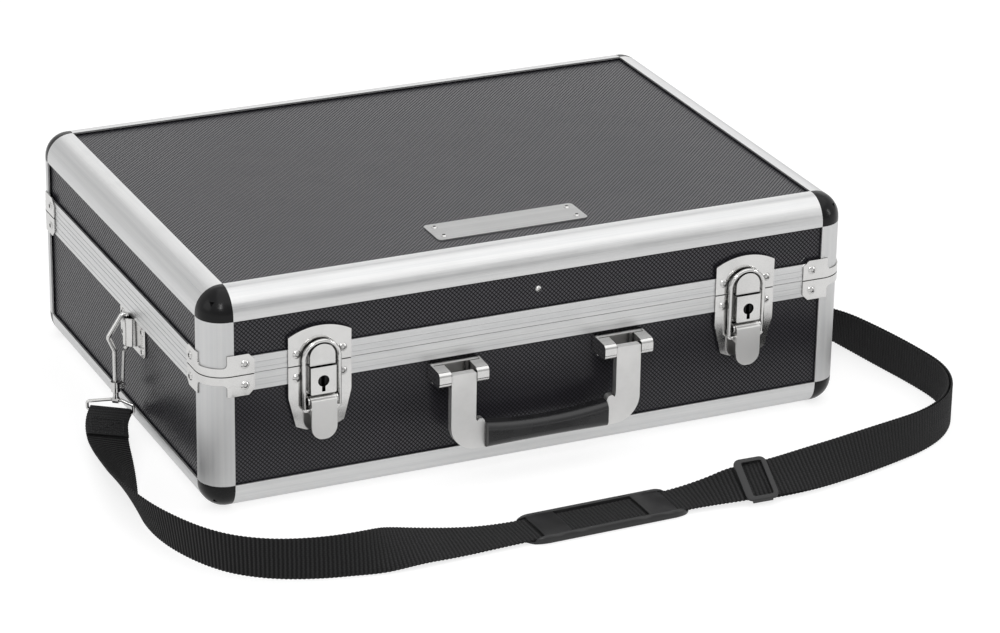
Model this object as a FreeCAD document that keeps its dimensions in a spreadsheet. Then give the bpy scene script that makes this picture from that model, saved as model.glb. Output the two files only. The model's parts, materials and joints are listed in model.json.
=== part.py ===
import FreeCAD, Part
import Sketcher
import math
import os
import re
from types import SimpleNamespace

# Framed carrying case with two toggle latches, a drop handle and a shoulder strap.
# Millimetres. X runs along the width, the front faces -Y, Z is up.
# The origin is under the middle of the whole case, with its handle and hinges, on the surface it stands on.

Vector = FreeCAD.Vector
RIGHT = Vector(1, 0, 0)
REAR = Vector(0, 1, 0)
UP = Vector(0, 0, 1)

# Driving dimensions
SIZES = {
    # Shell
    "case_width": 460.0,
    "case_depth": 330.0,
    "base_height": 96.0,
    "lid_height": 56.0,
    "part_gap": 0.3,
    "plate_gap": 0.8,
    "edge_radius": 17.0,
    "edge_flat": 2.0,
    "profile_lip": 1.2,
    "panel_thickness": 3.0,
    "panel_gap": 1.0,
    "slot_reach": 6.2,
    "lining_thickness": 2.0,
    # Rims at the parting
    "rim_height": 11.7,
    "rim_slot": 6.0,
    "tongue_height": 5.0,
    "tongue_wall": 3.0,
    "tongue_clearance": 0.3,
    "rib_groove_depth": 0.2,
    "rib_groove_width": 2.0,
    # Corner plates round the rims
    "corner_plate_thickness": 1.0,
    "corner_plate_reach": 32.5,
    "corner_plate_height": 13.8,
    "corner_plate_strip": 5.4,
    "corner_plate_notch": 14.0,
    "corner_plate_notch_round": 3.0,
    "corner_plate_chamfer": 4.0,
    # Rivets
    "rivet_head_radius": 2.9,
    "small_rivet_radius": 2.2,
    "rivet_head_rise": 1.2,
    "rivet_dimple_share": 0.5,
    "rivet_dimple_depth": 0.8,
    "rivet_shank_radius": 1.5,
    "rivet_shank_short": 0.2,
    "corner_rivet_reach": 26.0,
    "corner_rivet_rise": 7.3,
    "lid_rivet_rise": 24.8,
    "lid_rivet_shift": 2.0,
    # Latches
    "latch_inset": 77.0,
    "latch_width": 43.4,
    "latch_sheet": 1.2,
    "latch_shoulder": 21.4,
    "latch_drop": 45.0,
    "latch_foot_width": 33.2,
    "latch_foot_taper": 7.0,
    "latch_foot_rise": 3.0,
    "latch_foot_round": 2.0,
    "latch_corner": 3.0,
    "latch_rivet_spread": 31.6,
    "latch_rivet_rise": 8.2,
    "catch_height": 19.8,
    "catch_crown": 5.8,
    "boss_width": 17.4,
    "boss_height": 14.4,
    "boss_rise": 4.8,
    "lock_width": 17.6,
    "lock_height": 18.8,
    "lock_rise": 6.4,
    "lock_wall": 1.0,
    "lock_round": 1.0,
    "keyhole_drop": 9.8,
    "keyhole_radius": 3.9,
    "key_slot_width": 2.4,
    "key_slot_drop": 7.4,
    "core_radius": 5.4,
    "core_slot_reach": 4.3,
    "pivot_drop": 24.3,
    "pivot_stand": 4.6,
    "pin_radius": 1.5,
    "pin_clearance": 0.06,
    "lever_width": 17.6,
    "lever_length": 26.3,
    "lever_front": 4.4,
    "lever_sheet": 1.5,
    "lever_edge_round": 0.6,
    "lever_lug_round": 1.0,
    "lever_lug_wall": 1.2,
    "knuckle_radius": 3.1,
    "cheek_thickness": 1.2,
    "cheek_wall": 1.3,
    "cheek_root": 0.2,
    "side_clearance": 0.3,
    "bail_radius": 1.4,
    "bail_spread": 24.4,
    "bail_drop": 6.5,
    "bail_stand": 4.2,
    "bail_top": 16.2,
    "bail_bend": 1.6,
    "bail_end_gap": 2.5,
    # Handle
    "handle_shift": -0.3,
    "handle_spacing": 118.6,
    "handle_bracket_width": 35.0,
    "handle_bracket_top": 13.5,
    "handle_bracket_height": 13.0,
    "handle_bracket_back": 6.0,
    "handle_bracket_round": 2.0,
    "handle_lug_reach": 19.0,
    "handle_lug_rise": 1.5,
    "handle_lug_slope": 1.0,
    "handle_lug_round": 3.5,
    "handle_pin_drop": 7.0,
    "handle_pin_stand": 16.0,
    "handle_pin_radius": 2.0,
    "handle_pin_inset": 1.5,
    "arm_width": 17.6,
    "arm_thickness": 5.0,
    "arm_top": 3.6,
    "arm_length": 51.0,
    "arm_bend_radius": 18.0,
    "arm_corner": 1.0,
    "arm_step_round": 4.0,
    "arm_boss_radius": 2.9,
    "arm_boss_inset": 3.6,
    "foot_height": 18.0,
    "grip_length": 87.0,
    "grip_depth": 14.0,
    "grip_round": 5.0,
    "grip_waist": 3.5,
    "grip_side_waist": 0.4,
    "grip_foot_waist": 0.3,
    # Rear hinges
    "hinge_inset": 95.0,
    "hinge_width": 44.0,
    "hinge_leaf_height": 24.0,
    "hinge_sheet": 1.2,
    "hinge_corner": 3.0,
    "hinge_rivet_spread": 28.2,
    "hinge_rivet_rise": 16.8,
    "hinge_knuckle_radius": 3.0,
    "hinge_pin_radius": 1.4,
    "hinge_stand": 3.4,
    # Bare plate on the lid
    "plate_length": 108.0,
    "plate_width": 27.6,
    "plate_thickness": 0.8,
    "plate_corner": 3.0,
    "plate_front": 36.5,
    "plate_rivet_length": 96.0,
    "plate_rivet_width": 15.5,
    # Strap brackets on the sides
    "strap_bracket_shift": 22.5,
    "strap_bracket_length": 48.0,
    "strap_bracket_height": 23.0,
    "strap_bracket_sheet": 1.0,
    "strap_bracket_gap": 0.2,
    "strap_bracket_foot_round": 5.0,
    "strap_bracket_top_round": 3.0,
    "strap_rivet_end": 5.0,
    "strap_rivet_edge": 4.5,
    "tunnel_radius": 6.6,
    "tunnel_wall": 1.2,
    "tunnel_height": 19.6,
    # Shoulder strap and what is on it
    "strap_width": 28.5,
    "strap_thickness": 1.6,
    "strap_layer_gap": 0.9,
    "strap_floor_gap": 0.3,
    "strap_left_lead": 10.2,
    "strap_right_lead": 13.0,
    "strap_spread": 18.0,
    "tail_gap": 0.1,
    "wrap_clearance": 0.25,
    "hook_wire_radius": 1.6,
    "hook_gap": 0.05,
    "hook_shank_shift": 9.2,
    "hook_tip_drop": 23.0,
    "hook_tip_rise": 2.4,
    "hook_shoulder_reach": 13.5,
    "hook_shoulder_drop": 13.0,
    "hook_top_rise": 7.8,
    "hook_length": 45.5,
    "hook_loop_drop": 17.8,
    "hook_barrel_radius": 3.2,
    "hook_barrel_length": 7.0,
    "hook_post_radius": 1.9,
    "hook_eye_wall": 1.2,
    "hook_eye_width": 4.0,
    "gate_radius": 1.1,
    "gate_eye_radius": 1.6,
    "gate_eye_width": 2.6,
    "gate_pin_radius": 0.7,
    "gate_pivot_drop": 3.0,
    "gate_ear_radius": 1.5,
    "gate_ear_thickness": 1.0,
    "gate_tip_gap": 1.4,
    "loop_wire_radius": 1.1,
    "loop_bend": 1.7,
    "loop_rise": 4.35,
    "loop_shoulder_drop": 3.0,
    "loop_turn": 36.0,
    "loop_slide": 4.0,
    "loop_clearance": 0.1,
    "pad_length": 120.0,
    "pad_width": 36.0,
    "pad_height": 5.8,
    "pad_floor": 1.6,
    "pad_end_round": 15.0,
    "pad_clearance": 0.6,
    "pad_bridge": 20.0,
    "pad_bridge_start": 27.6,
    "pad_bridge_inset": 1.5,
    "pad_bridge_gap": 1.2,
    "slider_length": 22.5,
    "slider_bar": 4.6,
    "slider_rail": 1.9,
    "slider_clearance": 0.6,
    "slider_thickness": 1.5,
}

doc = FreeCAD.newDocument("CarryCase")
sheet = doc.addObject("Spreadsheet::Sheet", "Sizes")
for row, (alias, value) in enumerate(SIZES.items(), start=1):
    sheet.set(f"A{row}", alias)
    sheet.set(f"B{row}", str(value))
    sheet.setAlias(f"B{row}", alias)
doc.recompute()
s = SimpleNamespace(**{alias: float(sheet.get(alias)) for alias in SIZES})

# Places that follow from the driving dimensions
HALF_W = s.case_width / 2
HALF_D = s.case_depth / 2
PARTING = s.base_height
TOTAL = s.base_height + s.lid_height
COVER = s.edge_radius + s.edge_flat
SLOT_END = COVER - s.slot_reach
PANEL_FACE = s.profile_lip + s.panel_gap
SLOT_BACK = PANEL_FACE + s.panel_thickness
WALL = SLOT_BACK + s.profile_lip
BASE_RIM_TOP = PARTING - s.part_gap / 2
LID_RIM_FOOT = PARTING + s.part_gap / 2
BASE_PLATE_TOP = PARTING - s.plate_gap / 2
LID_PLATE_FOOT = PARTING + s.plate_gap / 2
BASE_RIM_FOOT = BASE_RIM_TOP - s.rim_height
LID_RIM_TOP = LID_RIM_FOOT + s.rim_height
LATCH_X = HALF_W - s.latch_inset
HINGE_X = HALF_W - s.hinge_inset
CORNERS = [(-1, -1), (1, -1), (1, 1), (-1, 1)]
SIDES = [("left", -1), ("right", 1)]
# How far a cut runs past what it cuts, and the least straight length between two rounds
PAST = 1.0
LEAST = 0.05

nodes = []


def cell(text):
    """Turn the size names in an expression into references to the sheet."""
    return re.sub(r"[a-z_]+", lambda word: "Sizes." + word.group(0), text)


def bind(item, expressions):
    """Bind properties of an object to expressions of the sheet's sizes."""
    for name, text in expressions.items():
        item.setExpression(name, cell(text))


def keep(item, label):
    """Name an object as one sub-part of the case."""
    item.Label = label
    nodes.append(item)
    return item


def keep_shape(label, shape, placement=FreeCAD.Placement()):
    """Keep a shape that is worked out in code as one sub-part."""
    item = doc.addObject("Part::Feature", label)
    item.Shape = shape
    item.Placement = placement
    return keep(item, label)


def bound_box(name, lengths, corner):
    """Make a box whose lengths and lowest corner are expressions."""
    item = doc.addObject("Part::Box", name)
    bind(item, dict(zip(("Length", "Width", "Height"), lengths)))
    bind(item, dict(zip(("Placement.Base.x", "Placement.Base.y", "Placement.Base.z"), corner)))
    return item


def bound_cut(name, base, tool):
    """Cut one object from another."""
    item = doc.addObject("Part::Cut", name)
    item.Base = base
    item.Tool = tool
    return item


def rounded_edges(corners, closed):
    """Join corner points, each with its own radius, by straight edges and tangent arcs."""
    count = len(corners)
    starts = []
    ends = []
    arcs = []
    for index, (point, radius) in enumerate(corners):
        is_end = not closed and index in (0, count - 1)
        if radius == 0 or is_end:
            starts.append(point)
            ends.append(point)
            continue
        back = (corners[index - 1][0] - point).normalize()
        ahead = (corners[(index + 1) % count][0] - point).normalize()
        half_angle = back.getAngle(ahead) / 2
        reach = radius / math.tan(half_angle)
        middle = (back + ahead).normalize() * (radius / math.sin(half_angle) - radius)
        starts.append(point + back * reach)
        ends.append(point + ahead * reach)
        arcs.append((index, Part.Arc(starts[-1], point + middle, ends[-1]).toShape()))
    arc_at = dict(arcs)
    edges = []
    for index in range(count):
        if index in arc_at:
            edges.append(arc_at[index])
        if index == count - 1 and not closed:
            break
        following = starts[(index + 1) % count]
        if (following - ends[index]).Length > 1e-6:
            edges.append(Part.LineSegment(ends[index], following).toShape())
    return edges


def prism(outline, origin, across, up, along):
    """Extrude a flat outline of (across, up, corner radius) along a vector."""
    corners = [(origin + across * a + up * b, radius) for a, b, radius in outline]
    face = Part.Face(Part.Wire(rounded_edges(corners, True)))
    return face.extrude(along)


def block(low, high):
    """Make a plain box between two corners."""
    return Part.makeBox(high[0] - low[0], high[1] - low[1], high[2] - low[2], Vector(*low))


def rod(points, radius, bend):
    """Sweep a round wire along straight runs joined by bends of one radius."""
    path = Part.Wire(rounded_edges([(Vector(*point), bend) for point in points], False))
    start = path.Edges[0]
    direction = start.tangentAt(start.FirstParameter)
    circle = Part.Circle(path.OrderedVertexes[0].Point, direction, radius)
    return path.makePipeShell([Part.Wire(circle.toShape())], True, False)


def cylinder(radius, start, end):
    """Make a round bar between two points."""
    axis = Vector(*end) - Vector(*start)
    return Part.makeCylinder(radius, axis.Length, Vector(*start), axis)


def mirrored(shape):
    """Give the other hand of a left-hand shape."""
    return shape.mirror(Vector(0, 0, 0), RIGHT)


def on_front(x, stand, z):
    """Give the point at a distance out from the front face."""
    return Vector(x, -HALF_D - stand, z)


def body_on_plane(name, points, length, placement_base, rotation):
    """Pad a closed outline, given as expressions, and place the body."""
    body = doc.addObject("PartDesign::Body", name)
    sketch = body.newObject("Sketcher::SketchObject", name + "_outline")
    plane = [item for item in body.Origin.OriginFeatures if item.Role == "XY_Plane"][0]
    sketch.AttachmentSupport = (plane, [""])
    sketch.MapMode = "FlatFace"
    count = len(points)
    turns = [2 * math.pi * index / count for index in range(count + 1)]
    ring = [Vector(COVER * math.cos(turn), COVER * math.sin(turn), 0) for turn in turns]
    for index in range(count):
        sketch.addGeometry(Part.LineSegment(ring[index], ring[index + 1]), False)
    for index in range(count):
        sketch.addConstraint(Sketcher.Constraint("Coincident", index, 2, (index + 1) % count, 1))
    for index, (across, up) in enumerate(points):
        for kind, text, start in (("DistanceX", across, ring[index].x), ("DistanceY", up, ring[index].y)):
            number = sketch.addConstraint(Sketcher.Constraint(kind, -1, 1, index, 1, start))
            sketch.setExpression(f"Constraints[{number}]", cell(text))
    pad = body.newObject("PartDesign::Pad", name + "_pad")
    pad.Profile = sketch
    bind(pad, {"Length": length})
    body.Placement = FreeCAD.Placement(Vector(0, 0, 0), rotation)
    axes = ("Placement.Base.x", "Placement.Base.y", "Placement.Base.z")
    bind(body, dict(zip(axes, placement_base)))
    doc.recompute()
    return body, pad


def round_outer_edge(body, pad):
    """Round the outer corner of an edge profile to its full radius."""
    names = []
    for index, edge in enumerate(pad.Shape.Edges, start=1):
        ends = [vertex.Point for vertex in edge.Vertexes]
        if all(math.hypot(point.x, point.y) < 1e-6 for point in ends):
            names.append(f"Edge{index}")
    fillet = body.newObject("PartDesign::Fillet", body.Name + "_round")
    fillet.Base = (pad, names)
    bind(fillet, {"Radius": "edge_radius"})
    body.Tip = fillet
    doc.recompute()


# Edge profile: a quarter-round outside, and a slot on each leg that holds a panel
COVER_TEXT = "(edge_radius + edge_flat)"
SLOT_END_TEXT = "(edge_radius + edge_flat - slot_reach)"
PANEL_FACE_TEXT = "(profile_lip + panel_gap)"
SLOT_BACK_TEXT = "(profile_lip + panel_gap + panel_thickness)"
WALL_TEXT = "(2 * profile_lip + panel_gap + panel_thickness)"
PROFILE = [
    ("0", COVER_TEXT),
    ("0", "0"),
    (COVER_TEXT, "0"),
    (COVER_TEXT, "profile_lip"),
    (SLOT_END_TEXT, "profile_lip"),
    (SLOT_END_TEXT, SLOT_BACK_TEXT),
    (COVER_TEXT, SLOT_BACK_TEXT),
    (COVER_TEXT, WALL_TEXT),
    (WALL_TEXT, WALL_TEXT),
    (WALL_TEXT, COVER_TEXT),
    (SLOT_BACK_TEXT, COVER_TEXT),
    (SLOT_BACK_TEXT, SLOT_END_TEXT),
    ("profile_lip", SLOT_END_TEXT),
    ("profile_lip", COVER_TEXT),
]


def edge_profile(name, inward, second_inward, length, corner):
    """Make one length of edge profile from its two inward directions."""
    run = inward.cross(second_inward)
    rotation = FreeCAD.Rotation(inward, second_inward, run, "ZXY")
    body, pad = body_on_plane(name, PROFILE, length, corner, rotation)
    round_outer_edge(body, pad)
    return body


def group(label, members):
    """Keep several separate solids as one sub-part."""
    item = doc.addObject("Part::Compound", label)
    item.Links = members
    return keep(item, label)


def edges_of(half, level, height_text):
    """Make the four horizontal edge profiles of one half of the shell."""
    long_text = f"case_width - 2 * {COVER_TEXT}"
    short_text = f"case_depth - 2 * {COVER_TEXT}"
    long_members = []
    short_members = []
    for sign, name in ((-1, "front"), (1, "rear")):
        inward = REAR * -sign
        second = UP * -level
        run = inward.cross(second)
        corner = (f"{-run.x} * (case_width / 2 - {COVER_TEXT})", f"{sign} * case_depth / 2", height_text)
        long_members.append(edge_profile(f"{half}_{name}_edge", inward, second, long_text, corner))
    for sign, name in ((-1, "left"), (1, "right")):
        inward = RIGHT * -sign
        second = UP * -level
        run = inward.cross(second)
        corner = (f"{sign} * case_width / 2", f"{-run.y} * (case_depth / 2 - {COVER_TEXT})", height_text)
        short_members.append(edge_profile(f"{half}_{name}_edge", inward, second, short_text, corner))
    group(f"{half}_long_edges", long_members)
    group(f"{half}_short_edges", short_members)


edges_of("lid", 1, "base_height + lid_height")
edges_of("base", -1, "0")

# Corner posts: the same profile, standing
STRIP_TEXT = "(part_gap / 2 + corner_plate_strip)"


def posts_of(half, length, foot):
    """Make the four corner posts of one half of the shell."""
    members = []
    for number, (sx, sy) in enumerate(CORNERS, start=1):
        first = RIGHT * -sx
        second = REAR * -sy
        if first.cross(second).z < 0:
            first, second = second, first
        corner = (f"{sx} * case_width / 2", f"{sy} * case_depth / 2", foot)
        members.append(edge_profile(f"{half}_post_{number}", first, second, length, corner))
    group(f"{half}_corner_posts", members)


posts_of("lid", f"lid_height - {COVER_TEXT} - {STRIP_TEXT}", f"base_height + {STRIP_TEXT}")
posts_of("base", f"base_height - {COVER_TEXT} - {STRIP_TEXT}", COVER_TEXT)


def ball_corner():
    """Make the corner cap that sits at the origin and reaches along +X, +Y and +Z."""
    cube = block((0, 0, 0), (COVER, COVER, COVER))
    outer = []
    for edge in cube.Edges:
        if any(vertex.Point.Length < 1e-6 for vertex in edge.Vertexes):
            outer.append(edge)
    cap = cube.makeFillet(s.edge_radius, outer)
    far = 2 * COVER
    cap = cap.cut(block((WALL, WALL, WALL), (far, far, far)))
    low = s.profile_lip
    cap = cap.cut(block((SLOT_END, SLOT_END, low), (far, far, far)))
    cap = cap.cut(block((SLOT_END, low, SLOT_END), (far, far, far)))
    return cap.cut(block((low, SLOT_END, SLOT_END), (far, far, far)))


def caps_of(half, level, height):
    """Make the four corner caps of one half of the shell."""
    members = []
    for sx, sy in CORNERS:
        cap = ball_corner()
        for sign, normal in ((sx, RIGHT), (sy, REAR), (level, UP)):
            if sign > 0:
                cap = cap.mirror(Vector(0, 0, 0), normal)
        cap.translate(Vector(sx * HALF_W, sy * HALF_D, height))
        members.append(cap)
    keep_shape(f"{half}_corner_caps", Part.makeCompound(members))


caps_of("lid", 1, TOTAL)
caps_of("base", -1, 0)


def rounded_slab(inset, low, high):
    """Make the shell's plan, taken in by an inset, between two heights."""
    x = HALF_W - inset
    y = HALF_D - inset
    radius = max(s.edge_radius - inset, 1.0)
    outline = [(-x, -y, radius), (x, -y, radius), (x, y, radius), (-x, y, radius)]
    return prism(outline, UP * low, RIGHT, REAR, UP * (high - low))


def ring(outer, inner, low, high):
    """Make a closed band of the shell's plan between two insets."""
    return rounded_slab(outer, low, high).cut(rounded_slab(inner, low - PAST, high + PAST))


def corner_blocks(size, low, high):
    """Make a square block at each corner of the shell."""
    blocks = []
    for sx, sy in CORNERS:
        ends_x = sorted((sx * (HALF_W - size), sx * (HALF_W + COVER)))
        ends_y = sorted((sy * (HALF_D - size), sy * (HALF_D + COVER)))
        blocks.append(block((ends_x[0], ends_y[0], low), (ends_x[1], ends_y[1], high)))
    return Part.makeCompound(blocks)


def rim_bars(whole, low, high):
    """Split a rim at its mitred corners into front, rear, left and right bars."""
    reach = 3 * WALL
    x = HALF_W + PAST
    y = HALF_D + PAST
    front = [(-x, -y, 0), (x, -y, 0), (x - reach, -y + reach, 0), (-x + reach, -y + reach, 0)]
    left = [(-x, -y, 0), (-x + reach, -y + reach, 0), (-x + reach, y - reach, 0), (-x, y, 0)]
    bars = {}
    for name, outline in (("front", front), ("left", left)):
        wedge = prism(outline, UP * low, RIGHT, REAR, UP * (high - low))
        bars[name] = whole.common(wedge)
    bars["rear"] = bars["front"].mirror(Vector(0, 0, 0), REAR)
    bars["right"] = bars["left"].mirror(Vector(0, 0, 0), RIGHT)
    return bars


def rib_grooves(foot):
    """Make the two shallow lines that run round the face of a rim."""
    lines = []
    for share in (1, 2):
        low = foot + s.rim_height * share / 3 - s.rib_groove_width / 2
        lines.append(ring(-PAST, s.rib_groove_depth, low, low + s.rib_groove_width))
    return Part.makeCompound(lines)


TONGUE_IN = WALL - s.tongue_wall
TONGUE_TOP = BASE_RIM_TOP + s.tongue_height


def base_rim():
    """Make the base rim: a slot below for the panels and a tongue above."""
    shape = ring(0, WALL, BASE_RIM_FOOT, BASE_RIM_TOP)
    shape = shape.cut(ring(s.profile_lip, SLOT_BACK, BASE_RIM_FOOT - PAST, BASE_RIM_FOOT + s.rim_slot))
    shape = shape.fuse(ring(TONGUE_IN, WALL, BASE_RIM_TOP, TONGUE_TOP)).removeSplitter()
    shape = shape.cut(corner_blocks(COVER, BASE_RIM_FOOT - PAST, BASE_RIM_TOP - s.corner_plate_strip))
    return shape.cut(rib_grooves(BASE_RIM_FOOT))


def lid_rim():
    """Make the lid rim: a slot above for the panels and a recess for the tongue."""
    shape = ring(0, WALL, LID_RIM_FOOT, LID_RIM_TOP)
    shape = shape.cut(ring(s.profile_lip, SLOT_BACK, LID_RIM_TOP - s.rim_slot, LID_RIM_TOP + PAST))
    recess_top = TONGUE_TOP + s.tongue_clearance
    recess_in = TONGUE_IN - s.tongue_clearance
    shape = shape.cut(ring(recess_in, WALL + PAST, LID_RIM_FOOT - PAST, recess_top))
    shape = shape.cut(corner_blocks(COVER, LID_RIM_FOOT + s.corner_plate_strip, LID_RIM_TOP + PAST))
    return shape.cut(rib_grooves(LID_RIM_FOOT))


def rivet(point, outward, shank, head=s.rivet_head_radius):
    """Make a rivet with its dished head on a surface and its shank inward."""
    rise = s.rivet_head_rise
    ball = (head * head + rise * rise) / (2 * rise)
    start = math.degrees(math.asin((ball - rise) / ball))
    dome = Part.makeSphere(ball, point - outward * (ball - rise), outward, start, 90)
    floor = point + outward * (rise - s.rivet_dimple_depth)
    dome = dome.cut(Part.makeCylinder(head * s.rivet_dimple_share, rise, floor, outward))
    return dome.fuse(Part.makeCylinder(s.rivet_shank_radius, shank, point, outward * -1)).removeSplitter()


SHANK = WALL + s.corner_plate_thickness - s.rivet_shank_short


def corner_rivets(height):
    """Make the rivets of the four corner plates of one half."""
    out_x = HALF_W + s.corner_plate_thickness
    out_y = HALF_D + s.corner_plate_thickness
    shapes = []
    for sx, sy in CORNERS:
        end_point = Vector(sx * (HALF_W - s.corner_rivet_reach), sy * out_y, height)
        side_point = Vector(sx * out_x, sy * (HALF_D - s.corner_rivet_reach), height)
        shapes.append(rivet(end_point, REAR * sy, SHANK))
        shapes.append(rivet(side_point, RIGHT * sx, SHANK))
    return shapes


def latch_rivets(height):
    """Make the two rivets of each latch plate at one height."""
    shapes = []
    for side in (-1, 1):
        for end in (-1, 1):
            x = side * LATCH_X + end * s.latch_rivet_spread / 2
            shapes.append(rivet(on_front(x, s.latch_sheet, height), -REAR, WALL))
    return shapes


def hinge_rivets(level):
    """Make the four rivets of the two hinge leaves of one half."""
    shapes = []
    for side in (-1, 1):
        for end in (-1, 1):
            x = side * HINGE_X + end * s.hinge_rivet_spread / 2
            z = PARTING + level * s.hinge_rivet_rise
            shapes.append(rivet(Vector(x, HALF_D + s.hinge_sheet, z), REAR, WALL))
    return shapes


STRAP_FACE = HALF_W - PANEL_FACE + s.strap_bracket_sheet
STRAP_TOP = BASE_RIM_FOOT - s.strap_bracket_gap
STRAP_FOOT = STRAP_TOP - s.strap_bracket_height


def strap_bracket_rivets():
    """Make the four rivets of each strap bracket."""
    shapes = []
    for side in (-1, 1):
        for end in (-1, 1):
            for height in (STRAP_TOP - s.strap_rivet_edge, STRAP_FOOT + s.strap_rivet_edge):
                y = -s.strap_bracket_shift + end * (s.strap_bracket_length / 2 - s.strap_rivet_end)
                shapes.append(rivet(Vector(side * STRAP_FACE, y, height), RIGHT * side, s.panel_thickness))
    return shapes


def plate_rivets():
    """Make the four rivets of the bare plate on the lid."""
    shapes = []
    level = TOTAL - PANEL_FACE + s.plate_thickness
    middle = -HALF_D + s.plate_front + s.plate_width / 2
    for sx, sy in CORNERS:
        point = Vector(sx * s.plate_rivet_length / 2, middle + sy * s.plate_rivet_width / 2, level)
        shapes.append(rivet(point, UP, s.panel_thickness, s.small_rivet_radius))
    return shapes


# A lone rivet shows on the lid's front, over the middle of the handle
lone_point = on_front(s.lid_rivet_shift, -PANEL_FACE, PARTING + s.lid_rivet_rise)
lid_rivet_shapes = corner_rivets(PARTING + s.corner_rivet_rise)
lid_rivet_shapes += latch_rivets(PARTING + s.latch_rivet_rise)
lid_rivet_shapes += hinge_rivets(1)
lid_rivet_shapes += plate_rivets()
lid_rivet_shapes.append(rivet(lone_point, -REAR, s.panel_thickness, s.small_rivet_radius))
base_rivet_shapes = corner_rivets(PARTING - s.corner_rivet_rise)
base_rivet_shapes += latch_rivets(PARTING - s.latch_rivet_rise)
base_rivet_shapes += hinge_rivets(-1)
base_rivet_shapes += strap_bracket_rivets()


def keep_rivets(half, shapes):
    """Keep the rivets of one half, and give the holes that they pass through."""
    keep_shape(f"{half}_rivets", Part.makeCompound(shapes))
    holes = doc.addObject("Part::Feature", f"{half}_rivet_holes")
    holes.Shape = Part.makeCompound(shapes)
    return holes


lid_holes = keep_rivets("lid", lid_rivet_shapes)
base_holes = keep_rivets("base", base_rivet_shapes)


def keep_riveted(label, shape, holes):
    """Keep a shape with the holes that its rivets pass through."""
    return keep_shape(label, shape.cut(holes.Shape))


for half, rim, holes in (("base", base_rim(), base_holes), ("lid", lid_rim(), lid_holes)):
    bars = rim_bars(rim, BASE_RIM_FOOT - PAST, LID_RIM_TOP + PAST)
    keep_riveted(f"{half}_long_rims", Part.makeCompound([bars["front"], bars["rear"]]), holes)
    keep_riveted(f"{half}_short_rims", Part.makeCompound([bars["left"], bars["right"]]), holes)

# Panels at the back of the slots of the profiles and rims, a thin dark gap in front of them
INSET_X = f"(case_width / 2 - {SLOT_END_TEXT})"
INSET_Y = f"(case_depth / 2 - {SLOT_END_TEXT})"
BASE_WALL_TOP = "(base_height - part_gap / 2 - rim_height + rim_slot)"
LID_WALL_FOOT = "(base_height + part_gap / 2 + rim_height - rim_slot)"
LID_WALL_HEIGHT = f"(base_height + lid_height - {SLOT_END_TEXT} - {LID_WALL_FOOT})"
BASE_WALL_HEIGHT = f"({BASE_WALL_TOP} - {SLOT_END_TEXT})"


def panels_of(half, holes, foot, height, flat_name, flat_level):
    """Make the flat panel and the four wall panels of one half of the shell."""
    plan = (f"2 * {INSET_X}", f"2 * {INSET_Y}", "panel_thickness")
    flat = bound_box(f"{half}_{flat_name}_sheet", plan, (f"-{INSET_X}", f"-{INSET_Y}", flat_level))
    keep(bound_cut(f"{half}_{flat_name}_panel", flat, holes), f"{half}_{flat_name}_panel")
    low_y = f"(-case_depth / 2 + {PANEL_FACE_TEXT})"
    high_y = f"(case_depth / 2 - {SLOT_BACK_TEXT})"
    low_x = f"(-case_width / 2 + {PANEL_FACE_TEXT})"
    high_x = f"(case_width / 2 - {SLOT_BACK_TEXT})"
    end_size = (f"2 * {INSET_X}", "panel_thickness", height)
    side_size = ("panel_thickness", f"2 * {INSET_Y}", height)
    places = (
        ("front", end_size, (f"-{INSET_X}", low_y, foot)),
        ("rear", end_size, (f"-{INSET_X}", high_y, foot)),
        ("left", side_size, (low_x, f"-{INSET_Y}", foot)),
        ("right", side_size, (high_x, f"-{INSET_Y}", foot)),
    )
    for name, lengths, corner in places:
        wall = bound_box(f"{half}_{name}_sheet", lengths, corner)
        keep(bound_cut(f"{half}_{name}_panel", wall, holes), f"{half}_{name}_panel")


panels_of("lid", lid_holes, LID_WALL_FOOT, LID_WALL_HEIGHT, "top",
          f"base_height + lid_height - {SLOT_BACK_TEXT}")
panels_of("base", base_holes, SLOT_END_TEXT, BASE_WALL_HEIGHT, "bottom", PANEL_FACE_TEXT)


def lining_of(half, foot, top, hollow_foot, hollow_top):
    """Make the thin tray that lines one half of the shell."""
    hollow = rounded_slab(WALL + s.lining_thickness, hollow_foot, hollow_top)
    keep_shape(f"{half}_lining", rounded_slab(WALL, foot, top).cut(hollow))


lid_lining_foot = TONGUE_TOP + 2 * s.tongue_clearance
lid_lining_top = TOTAL - WALL
lid_hollow_top = lid_lining_top - s.lining_thickness
lining_of("lid", lid_lining_foot, lid_lining_top, lid_lining_foot - PAST, lid_hollow_top)
lining_of("base", WALL, BASE_RIM_TOP, WALL + s.lining_thickness, TOTAL)


def post_notch(sx, sy, level, foot):
    """Make the round-cornered block that clears a corner plate from its post."""
    size = s.corner_plate_notch
    reach = size + COVER
    high = level * s.corner_plate_height
    radius = s.corner_plate_notch_round
    corner = Vector(sx * (HALF_W - size), sy * (HALF_D - size), foot)
    ends = [(0, 0, radius), (sx * reach, 0, 0), (sx * reach, high, 0), (0, high, 0)]
    sides = [(0, 0, radius), (sy * reach, 0, 0), (sy * reach, high, 0), (0, high, 0)]
    across = prism(ends, corner, RIGHT, UP, REAR * sy * reach)
    return across.common(prism(sides, corner, REAR, UP, RIGHT * sx * reach))


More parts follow.
